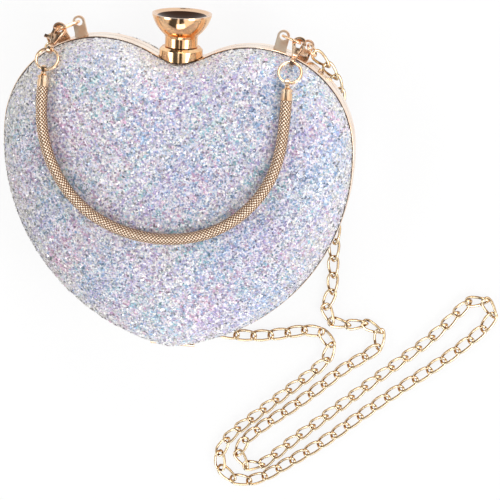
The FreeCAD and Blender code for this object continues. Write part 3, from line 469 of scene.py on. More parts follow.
def put(name: str, points: Array, faces: list, material: Material, smooth: bool = True) -> Piece:
    """Puts worked out points and faces into the scene as one piece at the origin.

    Args:
        name: The piece's name.
        points: Its points, in metres.
        faces: Its faces as lists of point numbers.
        material: Its finish.
        smooth: Whether its faces are shaded as one curved surface.

    Returns:
        The piece.
    """
    mesh = bpy.data.meshes.new(name)
    mesh.from_pydata(points.reshape(-1, 3), [], faces)
    mesh.polygons.foreach_set("use_smooth", np.full(len(mesh.polygons), smooth))
    mesh.materials.append(material)
    mesh.update()
    piece = bpy.data.objects.new(name, mesh)
    bpy.context.scene.collection.objects.link(piece)
    return piece


def store(piece: Piece, name: str, values: Array, kind: str = "FLOAT") -> None:
    """Lets a piece's points carry a number each by name, or a colour for the kind FLOAT_COLOR."""
    held = piece.data.attributes.new(name, kind, "POINT").data
    held.foreach_set("value" if kind == "FLOAT" else "color", values.astype(np.float32).ravel())


def points_of(mesh: bpy.types.Mesh) -> Array:
    """A mesh's points.

    Args:
        mesh: The mesh.

    Returns:
        Its points in its own coordinates.
    """
    flat = np.zeros(len(mesh.vertices) * 3, np.float32)
    mesh.vertices.foreach_get("co", flat)
    return flat.reshape(-1, 3).astype(float)


def ring_faces(rows: int, columns: int, close_rows: bool = False) -> Array:
    """Four sided faces of a grid whose columns close on themselves.

    Args:
        rows: How many rows of points.
        columns: How many points in a row.
        close_rows: Whether the last row also joins the first.

    Returns:
        Point numbers of each face; a row of points runs on before the next one starts.
    """
    row, column = np.meshgrid(np.arange(rows if close_rows else rows - 1), np.arange(columns), indexing="ij")
    after_row = (row + 1) % rows
    after_column = (column + 1) % columns
    corners = [row * columns + column, row * columns + after_column,
               after_row * columns + after_column, after_row * columns + column]
    return np.stack(corners, axis=-1).reshape(-1, 4)


def unit(vectors: Array) -> Array:
    """Vectors brought to a length of one along the last axis."""
    return vectors / np.maximum(np.linalg.norm(vectors, axis=-1, keepdims=True), 1e-12)


def circle(turn: Array, one: Array, other: Array) -> Array:
    """Points at angles round a unit circle, along two directions that are square to each other."""
    return np.cos(turn)[..., None] * one + np.sin(turn)[..., None] * other


def sigmoid(value: Array) -> Array:
    """A soft step from nought to one, halfway at nought."""
    return 1.0 / (1.0 + np.exp(-value))


def run_of(line: Array) -> Array:
    """How far along a line each of its points lies."""
    return np.r_[0.0, np.cumsum(np.linalg.norm(np.diff(line, axis=0), axis=1))]


def spots_at(where: Array, marks: Array, line: Array) -> Array:
    """Points of a line at places among the marks of its own points."""
    return np.stack([np.interp(where, marks, line[:, axis]) for axis in range(3)], axis=1)


def spline_points(route: Array, step: float) -> Array:
    """Even points along a smooth spline that has the route as its control points.

    Args:
        route: The control points, in metres.
        step: About how far apart the points lie.

    Returns:
        Points along the spline, evenly spaced from end to end.
    """
    curve = bpy.data.curves.new("route", "CURVE")
    curve.dimensions = "3D"
    curve.resolution_u = 24
    spline = curve.splines.new("NURBS")
    spline.points.add(len(route) - 1)
    spline.points.foreach_set("co", np.c_[route, np.ones(len(route))].astype(np.float32).ravel())
    spline.order_u = 3
    spline.use_endpoint_u = True
    holder = bpy.data.objects.new("route", curve)
    bpy.context.scene.collection.objects.link(holder)
    mesh = bpy.data.meshes.new_from_object(holder)
    line = points_of(mesh)
    bpy.data.objects.remove(holder)
    bpy.data.curves.remove(curve)
    bpy.data.meshes.remove(mesh)
    marks = run_of(line)
    even = np.linspace(0.0, marks[-1], max(int(round(marks[-1] / step)), 2) + 1)
    return spots_at(even, marks, line)


def carry(path: Array, radii: Array, closed: bool = False, beside: Array | None = None) -> Array:
    """A round section carried along a path.

    A point is the path's point plus the radius times the cosine of its angle along the sideways direction
    and the sine along the direction square to that and to the path.

    Args:
        path: The path's points.
        radii: The section's radius, by path point and by angle.
        closed: Whether the path closes on itself.
        beside: A direction that the sideways one stays close to, by path point; level if left out.

    Returns:
        Points by path point and angle.
    """
    around = np.linspace(0.0, TAU, radii.shape[1], endpoint=False)
    if closed:
        along = unit(np.roll(path, -1, axis=0) - np.roll(path, 1, axis=0))
    else:
        along = unit(np.gradient(path, axis=0))
    hint = np.cross(UP, along) if beside is None else beside
    sideways = unit(hint - along * np.sum(hint * along, axis=1, keepdims=True))
    upward = np.cross(along, sideways)
    return path[:, None] + radii[..., None] * circle(around, sideways[:, None], upward[:, None])


def stretched(cloth: Piece) -> None:
    """Reads the areas of a thin closed piece's faces and does nothing more with them.

    Args:
        cloth: The piece.
    """
    areas = np.zeros(len(cloth.data.polygons), np.float32)
    cloth.data.polygons.foreach_get("area", areas)


def capped(rows: int, columns: int, turn: int = 1) -> list:
    """Faces of a tube with both its ends filled, turned over if the turn is minus one."""
    ends = np.stack([np.arange(columns)[::-1], np.arange(columns) + (rows - 1) * columns])
    return ring_faces(rows, columns)[:, ::turn].tolist() + ends[:, ::turn].tolist()


@dataclass(frozen=True)
class HeartOutline:
    """The rim's outline: six arcs that run into each other."""

    lobe_offset: float = 36.5 * MM
    lobe_radius: float = 48.3 * MM
    valley_radius: float = 26.0 * MM
    side_reach: float = 53.0 * MM
    side_drop: float = 4.83 * MM
    tip_radius: float = 14.0 * MM
    lobe_line: float = 22.696 * MM
    puff_drop: float = 22.0 * MM

    def right_arcs(self) -> Array:
        """The arcs of the right half from the valley down to the tip.

        The side's centre lies its reach from the lobe's centre and its drop below it, and the tip's centre
        lies on the middle line, the difference of their radii from the side's.

        Returns:
            Rows of centre x, centre y, radius, start angle and signed sweep.
        """
        offset, lobe, valley, tip = self.lobe_offset, self.lobe_radius, self.valley_radius, self.tip_radius
        side = lobe + self.side_reach
        valley_y = math.sqrt((lobe + valley) ** 2 - offset * offset)
        side_x, side_y = offset - math.sqrt(self.side_reach ** 2 - self.side_drop ** 2), -self.side_drop
        tip_y = side_y - math.sqrt((side - tip) ** 2 - side_x ** 2)
        join_valley = math.atan2(-valley_y, offset)
        join_lobe = math.atan2(-side_y, offset - side_x)
        join_tip = math.atan2(tip_y - side_y, -side_x)
        return np.array([
            [0.0, valley_y, valley, -math.pi / 2, join_valley + math.pi / 2],
            [offset, 0.0, lobe, join_valley + math.pi, join_lobe - join_valley - math.pi],
            [side_x, side_y, side, join_lobe, join_tip - join_lobe],
            [0.0, tip_y, tip, join_tip, -math.pi / 2 - join_tip]])

    def at(self, share: Array) -> Array:
        """Points of the outline at shares of its length, from the valley clockwise.

        Args:
            share: Shares of the whole length.

        Returns:
            Points in the plane, with the lobes' line at its height in the purse's frame.
        """
        arcs = self.right_arcs()
        lengths = arcs[:, 2] * np.abs(arcs[:, 4])
        ends = np.r_[0.0, np.cumsum(lengths)]
        run = (share % 1.0) * 2.0 * ends[-1]
        mirrored = run > ends[-1]
        run = np.where(mirrored, 2.0 * ends[-1] - run, run)
        which = np.clip(np.searchsorted(ends, run, side="right") - 1, 0, 3)
        arc = arcs[which]
        angle = arc[..., 3] + np.sign(arc[..., 4]) * (run - ends[which]) / arc[..., 2]
        x = arc[..., 0] + arc[..., 2] * np.cos(angle)
        y = arc[..., 1] + arc[..., 2] * np.sin(angle) + self.lobe_line
        return np.stack([np.where(mirrored, -x, x), y], axis=-1)

    @property
    def puff_centre(self) -> Array:
        """The point that the shells shrink towards as they rise."""
        return np.array([0.0, self.lobe_line - self.puff_drop])


@dataclass(frozen=True)
class PuffedShell:
    """One puffed heart surface, a set depth under the cover's skin."""

    outline: HeartOutline
    half: Half
    depth: float = 0.0
    rise: float = 23.0 * MM
    edge_reveal: float = 0.8 * MM
    crown: float = 1.03
    side_power: float = 2.6
    rise_power: float = 2.2

    def at(self, round_share: Array, climb: Array) -> Array:
        """Points of the surface.

        The outline shrinks towards the puff's centre by the cosine of the climb to a power, while the
        height grows with the sine of the climb to a power; the rear one is flat where it lies.

        Args:
            round_share: Where round the outline, as shares of its length.
            climb: How far up, from nought at the foot to one at the crown.

        Returns:
            Points, with the shape of the two inputs together.
        """
        angle = climb * math.pi / 2.0
        share = np.clip(np.cos(angle), 0.0, 1.0) ** (2.0 / self.side_power)
        lift = self.crown * np.clip(np.sin(angle), 0.0, 1.0) ** (2.0 / self.rise_power)
        if self.half is Half.REAR:
            lift = np.minimum(lift, 1.0)
        base = 1.0 - (self.edge_reveal + self.depth) / MEAN_REACH
        centre = self.outline.puff_centre
        flat = centre + (self.outline.at(round_share) - centre) * (base * share)[..., None]
        height = SEAM + self.half.value * (RIM_DEPTH + (self.rise - self.depth) * lift)
        return np.concatenate([flat, np.broadcast_to(height[..., None], flat.shape[:-1] + (1,))], axis=-1)

    def outward(self, round_share: Array, climb: Array) -> tuple[Array, Array]:
        """Unit normals and the local stretch of the surface, from small steps both ways.

        Args:
            round_share: Where round the outline.
            climb: How far up.

        Returns:
            The normals that point out of the purse, and the area that a unit of both inputs covers.
        """
        step = 1e-4
        along = (self.at(round_share + step, climb) - self.at(round_share - step, climb)) / (2 * step)
        low = np.clip(climb - step, 0.0, 1.0)
        high = np.clip(climb + step, 0.0, 1.0)
        upward = (self.at(round_share, high) - self.at(round_share, low)) / (high - low)[..., None]
        square = np.cross(upward, along) * self.half.value
        return unit(square), np.linalg.norm(square, axis=-1)


@dataclass(frozen=True)
class Cup:
    """A thin closed cup between two puffed surfaces that are joined at the foot."""

    outer: PuffedShell
    inner: PuffedShell
    rows: int
    columns: int
    gather: float = 0.0
    gathers: int = 0

    def points(self) -> Array:
        """Points in rows up the outer wall, then in rows down the inner one, then the two crowns.

        Gathers pull the inner wall towards the puff's centre by the size of a sine round the outline, and
        fade to nought at the crown.

        Returns:
            The points, in metres.
        """
        climb = np.linspace(0.0, 1.0, self.rows + 1)[:-1, None]
        share = np.arange(self.columns)[None, :] / self.columns
        wall_out, wall_in = self.outer.at(share, climb), self.inner.at(share, climb[::-1])
        if self.gather:
            centre = self.outer.outline.puff_centre
            pull = self.gather * np.abs(np.sin(share * TAU * self.gathers)) * (1.0 - climb[::-1])
            wall_in[..., :2] = centre + (wall_in[..., :2] - centre) * (1.0 - pull / MEAN_REACH)[..., None]
        crowns = [shell.at(np.zeros(1), np.ones(1)) for shell in (self.outer, self.inner)]
        return np.concatenate([wall_out.reshape(-1, 3), wall_in.reshape(-1, 3), *crowns])

    def faces(self) -> list:
        """Both walls, the joint at the foot and a fan up to each crown, all turned to face out of the cloth.

        Returns:
            The faces as lists of point numbers.
        """
        wall, top = self.rows * self.columns, (self.rows - 1) * self.columns
        foot = np.arange(self.columns)
        after = (foot + 1) % self.columns
        grid = ring_faces(self.rows, self.columns)
        joint = np.stack([after, wall + top + after, wall + top + foot, foot], axis=1)
        fan_out = np.stack([top + foot, top + after, np.full_like(foot, 2 * wall)], axis=1)
        fan_in = np.stack([wall + after, wall + foot, np.full_like(foot, 2 * wall + 1)], axis=1)
        quads, fans = np.concatenate([grid, grid + wall, joint]), np.concatenate([fan_out, fan_in])
        turn = -self.outer.half.value
        return quads[:, ::turn].tolist() + fans[:, ::turn].tolist()


@dataclass(frozen=True)
class GlitterTint:
    """The rule that gives each flake its colour. The hues are blue, mauve, pink, aqua and white."""

    hues: tuple = ((0.68, 0.82, 1.0), (0.83, 0.77, 1.0), (1.0, 0.78, 0.92), (0.68, 0.94, 0.98),
                   (1.0, 0.985, 0.955))
    pull: tuple = (0.1, -0.05, 0.25, -0.15, 1.4)
    pull_right: tuple = (0.85, 0.55, -0.25, 0.0, -0.35)
    sharpness: float = 2.0
    chance: float = 0.5
    waves: tuple = ((7.1, 4.3, 0.4, 11.3, 9.1, 1.0), (9.7, -3.1, 2.6, 6.1, 12.7, 2.2),
                    (-5.7, 8.9, 1.9, 13.1, 6.7, 0.3), (4.9, 10.1, 3.3, -9.9, 7.3, 1.5))
    shorter: tuple = (5.7, 6.3, 6.1, 5.3)
    tones: tuple = (1.0, 0.70, 0.54, 0.28)
    tone_shares: tuple = (0.38, 0.34, 0.22, 0.06)
    tone_chance: float = 0.1
    tone_range: tuple = (0.7, 1.2)
    light_over: float = 0.9
    light_wash: float = 0.45
    dark_under: float = 0.4
    half_width: float = 85.0 * MM
    half_length: float = 80.0 * MM
    middle: float = 0.7 * MM
    edge_climb: float = 0.48
    painted_edge_sheen: float = 2.2
    painted_edge_sheen_right: float = 0.3
    painted_edge_lift: float = 0.9
    inland_colour: float = 0.9
    painted_end_light_slope: float = 0.16
    painted_end_light_range: tuple = (-0.08, 0.12)
    right_from: float = 0.1
    right_slope: float = 4.0
    left_from: float = -0.5
    left_slope: float = 8.0
    painted_left_shade: float = 0.13

    def colours(self, spots: Array, climb: Array, rng: np.random.Generator) -> Array:
        """Tones from white to grey, washed with hues that drift across the cover in patches.

        A colour's pull is half the sum of four sine waves across the cover in slanting directions, two long
        and two short, plus its own pull, more or less of it on the right, and chance. White, a painted sheen,
        pulls by nearness to the edge instead of the waves, and less among the darker flakes inland. The hues
        are shared out by the exponent of their pull. The lightest flakes stay nearly white, and near the edge
        all but the dark flecks are lighter, a painted sheen. Both ends of the cover are a little lighter than
        its sides, painted light, and the far left is the darkest, painted shade.

        Args:
            spots: Flake centres.
            climb: How far up the cover each flake lies.
            rng: The seeded source of chance.

        Returns:
            Colours by flake, with a full alpha.
        """
        x, y = spots[:, 0] / self.half_width, (spots[:, 1] - self.middle) / self.half_length
        edge = 1.0 - np.clip(climb / self.edge_climb, 0.0, 1.0)
        right = sigmoid(self.right_slope * (x - self.right_from))
        left = sigmoid(self.left_slope * (self.left_from - x))
        p, q, r, s = self.shorter
        drift = [(np.sin(a * x + b * y + c) + np.sin(d * x - e * y + f) + np.sin(p * d * x + q * b * y + a)
                  + np.sin(r * a * y - s * e * x + d)) / 2.0 for a, b, c, d, e, f in self.waves]
        # painted sheen: white pulls harder near the cover's edge
        white = self.painted_edge_sheen * edge * (1.0 - self.painted_edge_sheen_right * right)
        own = np.array(self.pull) + right[:, None] * np.array(self.pull_right)
        pulls = np.stack([*drift, white], axis=1) + own + rng.gumbel(0.0, self.chance, own.shape)
        tone = rng.choice(self.tones, len(x), p=self.tone_shares)
        lightest = tone > self.light_over
        pulls[:, -1] -= self.inland_colour * (1.0 - edge) * ~lightest
        share = np.exp(self.sharpness * pulls)
        hues = np.array([linear(*hue)[:3] for hue in self.hues])
        wash = (share / share.sum(axis=1, keepdims=True)) @ hues
        pale = self.light_wash * wash + (1.0 - self.light_wash) * hues[-1]
        wash = np.where(lightest[:, None], pale, wash)
        # painted sheen: near the edge all but the dark flecks are lighter
        tone = np.where(tone < self.dark_under, tone, tone ** (1.0 - self.painted_edge_lift * edge))
        tone *= np.clip(rng.normal(1.0, self.tone_chance, len(x)), *self.tone_range)
        # painted light at both ends of the cover, and painted shade on the far left
        ends = np.clip(self.painted_end_light_slope * (np.abs(y) - np.abs(x)), *self.painted_end_light_range)
        tone *= 1.0 + ends - self.painted_left_shade * left
        return np.c_[np.clip(wash * tone[:, None], 0.0, 1.0), np.ones(len(x))]


@dataclass
class GlitterCover:
    """A glitter cloth cover: a thin puffed skin with loose flakes bedded all over it."""

    half: Half
    outline: HeartOutline
    bed: Material
    flakes: Material
    seed: int
    tint: GlitterTint = GlitterTint()
    cut: tuple = (0.215, 0.2)
    thickness: float = 0.9 * MM
    sink: float = 0.15 * MM
    flake_count: int = 42000
    flake_radius: float = 0.51 * MM
    flake_spread: float = 0.22
    flake_range: tuple = (0.65, 1.75)
    flake_corners: int = 6
    lift: float = 0.05 * MM
    lean_lift: float = 0.35
    tilt: float = 0.3
    tilt_limit: float = 0.6
    gloss_power: float = 1.4
    draws_each: int = 8
    draws_area: float = 0.995
    crown_stop: float = 0.999
    rows: int = 56
    columns: int = 320

    def build_skin(self) -> Piece:
        """Builds the closed skin: up the outer surface to the crown and back down the inner one.

        Returns:
            The skin, which stands for the cover's solid.
        """
        outer, inner = (PuffedShell(self.outline, self.half, depth) for depth in (self.sink, self.thickness))
        cup = Cup(outer, inner, self.rows, self.columns)
        skin = put(self.half.word + "_glitter_skin", cup.points(), cup.faces(), self.bed)
        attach(skin, self.half.body)
        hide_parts(self.half.word + "_glitter_cover")
        return skin

    def scatter(self) -> Piece:
        """Beds flat flakes on the skin at random, evenly by area, each with its own tilt, tint and gloss.

        A flake's corner is its centre plus its radius times the cosine and sine of its angle along two
        directions square to its own tilted normal.

        Returns:
            The flakes as one piece.
        """
        rng = np.random.default_rng(self.seed)
        shell = PuffedShell(self.outline, self.half, self.sink)
        draws = self.flake_count * self.draws_each
        share, climb = rng.random(draws), rng.random(draws) * self.crown_stop
        area = shell.outward(share, climb)[1]
        kept = rng.random(draws) < area / np.quantile(area, self.draws_area)
        chosen = np.flatnonzero(kept)[: self.flake_count]
        share, climb = share[chosen], climb[chosen]
        count = len(chosen)
        spots, normal = shell.at(share, climb), shell.outward(share, climb)[0]
        aside = unit(np.cross(normal, rng.normal(size=(count, 3))))
        lean = np.clip(np.abs(rng.normal(0.0, self.tilt, count)), 0.0, self.tilt_limit)
        facing = unit(normal + aside * lean[:, None])
        one = unit(np.cross(facing, rng.normal(size=(count, 3))))
        other = np.cross(facing, one)
        spread = np.exp(rng.normal(0.0, self.flake_spread, count))
        radius = self.flake_radius * np.clip(spread, *self.flake_range)
        centre = spots + normal * (self.lift + radius * lean * self.lean_lift)[:, None]
        sides = self.flake_corners
        turn = np.arange(sides) * TAU / sides
        corners = centre[:, None] + radius[:, None, None] * circle(turn, one[:, None], other[:, None])
        corners[..., 2] = np.maximum(corners[..., 2], 0.0)
        faces = np.arange(count * sides).reshape(-1, sides).tolist()
        piece = put(self.half.word + "_glitter_flakes", corners, faces, self.flakes, smooth=False)
        tint = self.tint.colours(spots, climb, rng)
        gloss = rng.random(count) ** self.gloss_power
        store(piece, "flake_tint", np.repeat(tint, sides, axis=0), "FLOAT_COLOR")
        store(piece, "flake_gloss", np.repeat(gloss, sides))
        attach(piece, self.half.body)
        return piece


@dataclass
class PaintedGapShade:
    """A thin dark line of painted shade that stands for the shadow in the gap where a cover meets its rim."""

    half: Half
    outline: HeartOutline
    finish: Material
    radius: float = 0.28 * MM
    inset: float = 0.6 * MM
    columns: int = 640
    sides: int = 8

    def build(self) -> Piece:
        """A thin round line carried along the outline, shrunk a little, at the rim's outer face, dark as
        painted shade.

        Returns:
            The line as one piece.
        """
        centre = self.outline.puff_centre
        rim = self.outline.at(np.arange(self.columns) / self.columns)
        flat = centre + (rim - centre) * (1.0 - self.inset / MEAN_REACH)
        path = np.c_[flat, np.full(self.columns, SEAM + self.half.value * RIM_DEPTH)]
        points = carry(path, np.full((self.columns, self.sides), self.radius), closed=True)
        line = put(self.half.word + "_painted_gap_shade", points,
                   ring_faces(self.columns, self.sides, close_rows=True)[:, ::-1].tolist(), self.finish)
        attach(line, self.half.body)
        return line


@dataclass
class Lining:
    """A satin lining stretched over the inside of a shell."""

    half: Half
    outline: HeartOutline
    finish: Material
    cut: tuple = (0.205, 0.19)
    depth: float = 3.05 * MM
    thickness: float = 0.5 * MM
    gather: float = 0.9 * MM
    gathers: int = 23
    rows: int = 30
    columns: int = 200

    def build(self) -> Piece:
        """Two nested puffed surfaces joined at the foot, with faint gathers that fade towards the crown.

        Returns:
            The lining, which stands for its solid.
        """
        outer, inner = (PuffedShell(self.outline, self.half, depth, crown=1.0)
                        for depth in (self.depth, self.depth + self.thickness))
        cup = Cup(outer, inner, self.rows, self.columns, self.gather, self.gathers)
        cloth = put(self.half.word + "_satin_lining", cup.points(), cup.faces(), self.finish)
        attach(cloth, self.half.body)
        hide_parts(self.half.word + "_lining")
        return cloth


@dataclass
class MeshHandle:
    """The short handle: a tube of wire mesh between two caps. Eyes, drop and route are in millimetres."""

    finish: Material
    left_eye: tuple = (-60.948, 56.592, 48.483)
    right_eye: tuple = (53.709, 59.013, 49.974)
    cap_drop: float = 8.3
    radius: float = 2.75 * MM
    relief: float = 0.34 * MM
    cells_round: int = 20
    cell: float = 0.86 * MM
    weave_power: float = 1.1
    flank: float = 0.78
    painted_top_light: float = 0.36
    painted_top_light_power: int = 4
    route_step: float = 0.2 * MM
    sides: int = 96
    rings: int = 1020
    route: tuple = (
        (-60.7, 39.8, 55.0), (-59.6, 29.2, 56.5), (-56.6, 18.2, 57.7), (-51.0, 7.2, 58.6),
        (-43.0, -2.5, 59.5), (-33.0, -10.1, 60.3), (-18.0, -16.1, 61.0), (-0.5, -18.1, 61.1),
        (17.0, -15.1, 61.0), (31.0, -7.7, 60.6), (41.5, 2.2, 59.8), (48.8, 13.7, 58.9),
        (52.8, 26.7, 57.8), (54.0, 42.5, 55.7))

    def path(self) -> Array:
        """Even points along the middle of the tube, from the left cap's mouth to the right one's.

        Returns:
            The points, in metres.
        """
        route = np.array(self.route)
        ends = []
        for eye, near in ((self.left_eye, route[0]), (self.right_eye, route[-1])):
            start = np.array(eye)
            ends.append(start + unit(near - start) * self.cap_drop)
        line = np.concatenate([ends[:1], route, ends[1:]]) * MM
        fine = spline_points(line, self.route_step)
        return spots_at(np.linspace(0, len(fine) - 1, self.rings), np.arange(len(fine)), fine)

    def build(self) -> Piece:
        """A tube whose radius swells with two crossing sets of slanting wires, over and under by turns.

        The height is the product of two sines along the slanting directions, brought to nought in the gaps.
        The stored value is the height, painted shade in the gaps, grown from the flanks to a painted
        highlight on the top with a power of the sine of the angle round the tube.

        Returns:
            The tube, which stands for the sleeve's solid.
        """
        path = self.path()
        around = np.arange(self.sides) / self.sides * self.cells_round
        along = run_of(path) / self.cell
        first = around[None, :] + along[:, None]
        second = around[None, :] - along[:, None]
        height = np.abs(np.sin(math.pi * first * 0.5) * np.sin(math.pi * second * 0.5)) ** self.weave_power
        points = carry(path, self.radius - self.relief * (1.0 - height))
        tube = put("mesh_sleeve", points, capped(self.rings, self.sides, -1), self.finish)
        # painted highlight: the stored value is raised along the top of the tube
        upward = np.clip(np.sin(around / self.cells_round * TAU), 0.0, 1.0)
        store(tube, "weave_height", height * (self.flank + self.painted_top_light * upward ** self.painted_top_light_power))
        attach(tube, "handle")
        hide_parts("handle_sleeve")
        return tube


@dataclass
class SplitRing:
    """A flat double coil ring between a clip and a cap of the handle; wire is half of its wire's width."""

    side: Side
    finish: Material
    wire: float = 0.38 * MM
    wire_depth: float = 0.65 * MM
    sides: int = 10
    steps: int = 160

    def build(self) -> Piece:
        """Two turns of flat wire that lie side by side, carried along a flat helix round the ring's own axis.

        The wire's section is an ellipse, deeper towards the ring's middle than it is wide. The ring's middle,
        axis and radius are read from its solid: its points spread least along the axis.

        Returns:
            The coil, which stands for the ring's solid.
        """
        node = "split_ring_" + self.side.value
        spots = points_of(bpy.data.objects[node].data)
        low, high = (np.array(corner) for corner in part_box(node))
        middle = (low + high) / 2.0
        axes = np.linalg.svd(np.unique(spots.round(7), axis=0) - middle, full_matrices=False)[2]
        reach = np.linalg.norm(spots - middle, axis=1)
        ring_radius = (reach.max() + reach.min()) / 2.0
        turn = np.linspace(0.0, 2.0 * TAU, self.steps)
        shift = (turn / (2.0 * TAU) - 0.5) * 4.0 * self.wire
        path = middle + ring_radius * circle(turn, axes[0], axes[1]) + shift[:, None] * axes[2]
        around = np.linspace(0.0, TAU, self.sides, endpoint=False)
        section = 1.0 / np.hypot(np.cos(around) / self.wire, np.sin(around) / self.wire_depth)
        points = carry(path, np.tile(section, (self.steps, 1)), beside=np.tile(axes[2], (self.steps, 1)))
        coil = put("coil_ring_" + self.side.value, points, capped(self.steps, self.sides), self.finish)
        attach(coil, "front_half")
        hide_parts(node)
        return coil


# The chain's line in millimetres: down from the right lug, across the table and up to the left lug.
CHAIN_LEVEL = 2.6  # the height of the line's middle on the table
CHAIN_DOWN = (
    (59.706, 71.792, 25.9), (64.2, 66.3, 22.6), (69, 61.1, 19), (72.8, 53.7, 13.4), (74.8, 43.7, 7.6),
    (75.4, 30.7, 3.7), (75.2, 14.7, 2.7))
CHAIN_ACROSS = (
    (75.4, -1.3), (75.2, -16.3), (75.6, -30.3), (75.4, -42.3), (76, -50.3), (76.2, -57.8),
    (72.6, -64.3), (73.4, -71.3), (79.4, -75.5), (87.8, -73.7), (97, -72.1), (102.5, -77.1),
    (102.2, -84.5), (95, -90.3), (84.4, -97.7), (72, -110.5), (59, -122.3), (45, -133.7),
    (36.6, -141.3), (31.4, -147.9), (31.5, -154.5), (35.8, -159.1), (42.4, -158.9), (49.6, -152.1),
    (60, -141.3), (75, -127.3), (92, -110.9), (111, -92.7), (127, -77.9), (137.4, -64.9),
    (144.9, -54.5), (151.5, -53.8), (156.6, -58), (157.1, -64.6), (150.6, -72.1), (142.6, -80.7),
    (132.2, -90.5), (122.6, -98.7), (107, -111.9), (92, -125.5), (77.4, -139.3), (63.4, -150.3),
    (52.4, -158.7), (44, -165.1), (35.4, -168.1), (27, -166.5), (21.2, -160.1), (21.4, -151.3),
    (27, -141.3), (39, -130.3), (53.8, -115.9), (68.6, -101.9), (75.6, -94.3), (78, -87.1),
    (75.2, -80.5), (68, -78.1), (59, -80.1), (49, -83.3), (34, -85.5), (20, -85.3), (6, -78.9),
    (-10, -72.7), (-27, -62.9), (-43.6, -48.3), (-57, -30.3), (-66.8, -9.9), (-71.4, 10.1))
CHAIN_UP = (
    (-72.2, 28.7, 2.7), (-70.8, 42.3, 4.2), (-68.8, 52.5, 8.6), (-66.8, 60.3, 14.4), (-64.6, 66.9, 21.6),
    (-59.706, 71.792, 25.9))


@dataclass
class ShoulderChain:
    """The long chain of twisted oval links that lies loose on the table."""

    finish: Material
    link_length: float = 12.4 * MM
    link_width: float = 6.3 * MM
    wire: float = 1.35 * MM
    pitch: float = 8.9 * MM
    twist: float = math.radians(44.0)
    roll: float = math.radians(16.0)
    lead: float = 10.2 * MM
    squareness: float = 3.2
    route_step: float = 0.25 * MM
    steps: int = 24
    sides: int = 8

    def link(self) -> Array:
        """One link about its own middle: a squared oval of round wire, twisted about its length.

        The wire's middle is an oval whose cosine and sine are brought nearer to a rectangle by a power, and
        each point is then turned about the length by an angle that grows along it from a small roll.

        Returns:
            Points by step round the oval and by side of the wire.
        """
        turn = np.linspace(0.0, TAU, self.steps, endpoint=False)
        power = 2.0 / self.squareness
        x = np.sign(np.cos(turn)) * np.abs(np.cos(turn)) ** power
        y = np.sign(np.sin(turn)) * np.abs(np.sin(turn)) ** power * (self.link_width - self.wire) / 2.0
        angle = self.roll + self.twist * x
        reach = (self.link_length - self.wire) / 2.0
        path = np.stack([x * reach, y * np.cos(angle), y * np.sin(angle)], axis=1)
        beside = np.stack([np.zeros_like(x), np.sin(angle), -np.cos(angle)], axis=1)
        return carry(path, np.full((self.steps, self.sides), self.wire / 2.0), closed=True, beside=beside)

    def build(self) -> Piece:
        """Sets the links one after another along the chain's smooth line, each on its own chord.

        The polish of a point, painted light that also sets the gloss, is how far its side of the wire faces
        up, from nought below to one on top.

        Returns:
            The chain, which stands for its solid.
        """
        across = np.insert(np.array(CHAIN_ACROSS), 2, CHAIN_LEVEL, axis=1)
        line = spline_points(np.concatenate([CHAIN_DOWN, across, CHAIN_UP]) * MM, self.route_step)
        marks = run_of(line)
        span = marks[-1] - 2.0 * self.lead
        count = int(round(span / self.pitch)) + 1
        centres = self.lead + np.arange(count) * span / (count - 1)
        half = span / (count - 1) / 2.0
        start, stop = spots_at(centres - half, marks, line), spots_at(centres + half, marks, line)
        ahead = unit(stop - start)
        sideways = unit(np.cross(UP, ahead))
        axes = np.stack([ahead, sideways, np.cross(ahead, sideways)], axis=1)
        wire = self.link()
        link = wire.reshape(-1, 3)
        points = ((start + stop) / 2.0)[:, None] + link @ axes
        one = ring_faces(self.steps, self.sides, close_rows=True)
        faces = (one[None] + (np.arange(count) * len(link))[:, None, None]).reshape(-1, 4)
        chain = put("shoulder_chain_links", points, faces.tolist(), self.finish)
        facing = unit(wire - wire.mean(axis=1, keepdims=True)).reshape(-1, 3)
        # painted light: the polish stored for the colour is how far each point of the wire faces up
        store(chain, "polish", 0.5 + 0.5 * (facing @ axes)[..., 2])
        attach(chain, "rear_half")
        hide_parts("shoulder_chain")
        return chain


def stand(name: str, data: bpy.types.Camera | bpy.types.Light, axes: list, place: Array) -> Piece:
    """Stands a camera or a lamp in the scene.

    Args:
        name: Its name.
        data: Its settings.
        axes: Its right, its top and its back as unit vectors.
        place: Where it stands.

    Returns:
        The camera or the lamp.
    """
    holder = bpy.data.objects.new(name, data)
    holder.matrix_world = Matrix(np.r_[np.stack([*axes, place], axis=1), [[0.0, 0.0, 0.0, 1.0]]].tolist())
    bpy.context.scene.collection.objects.link(holder)
    return holder


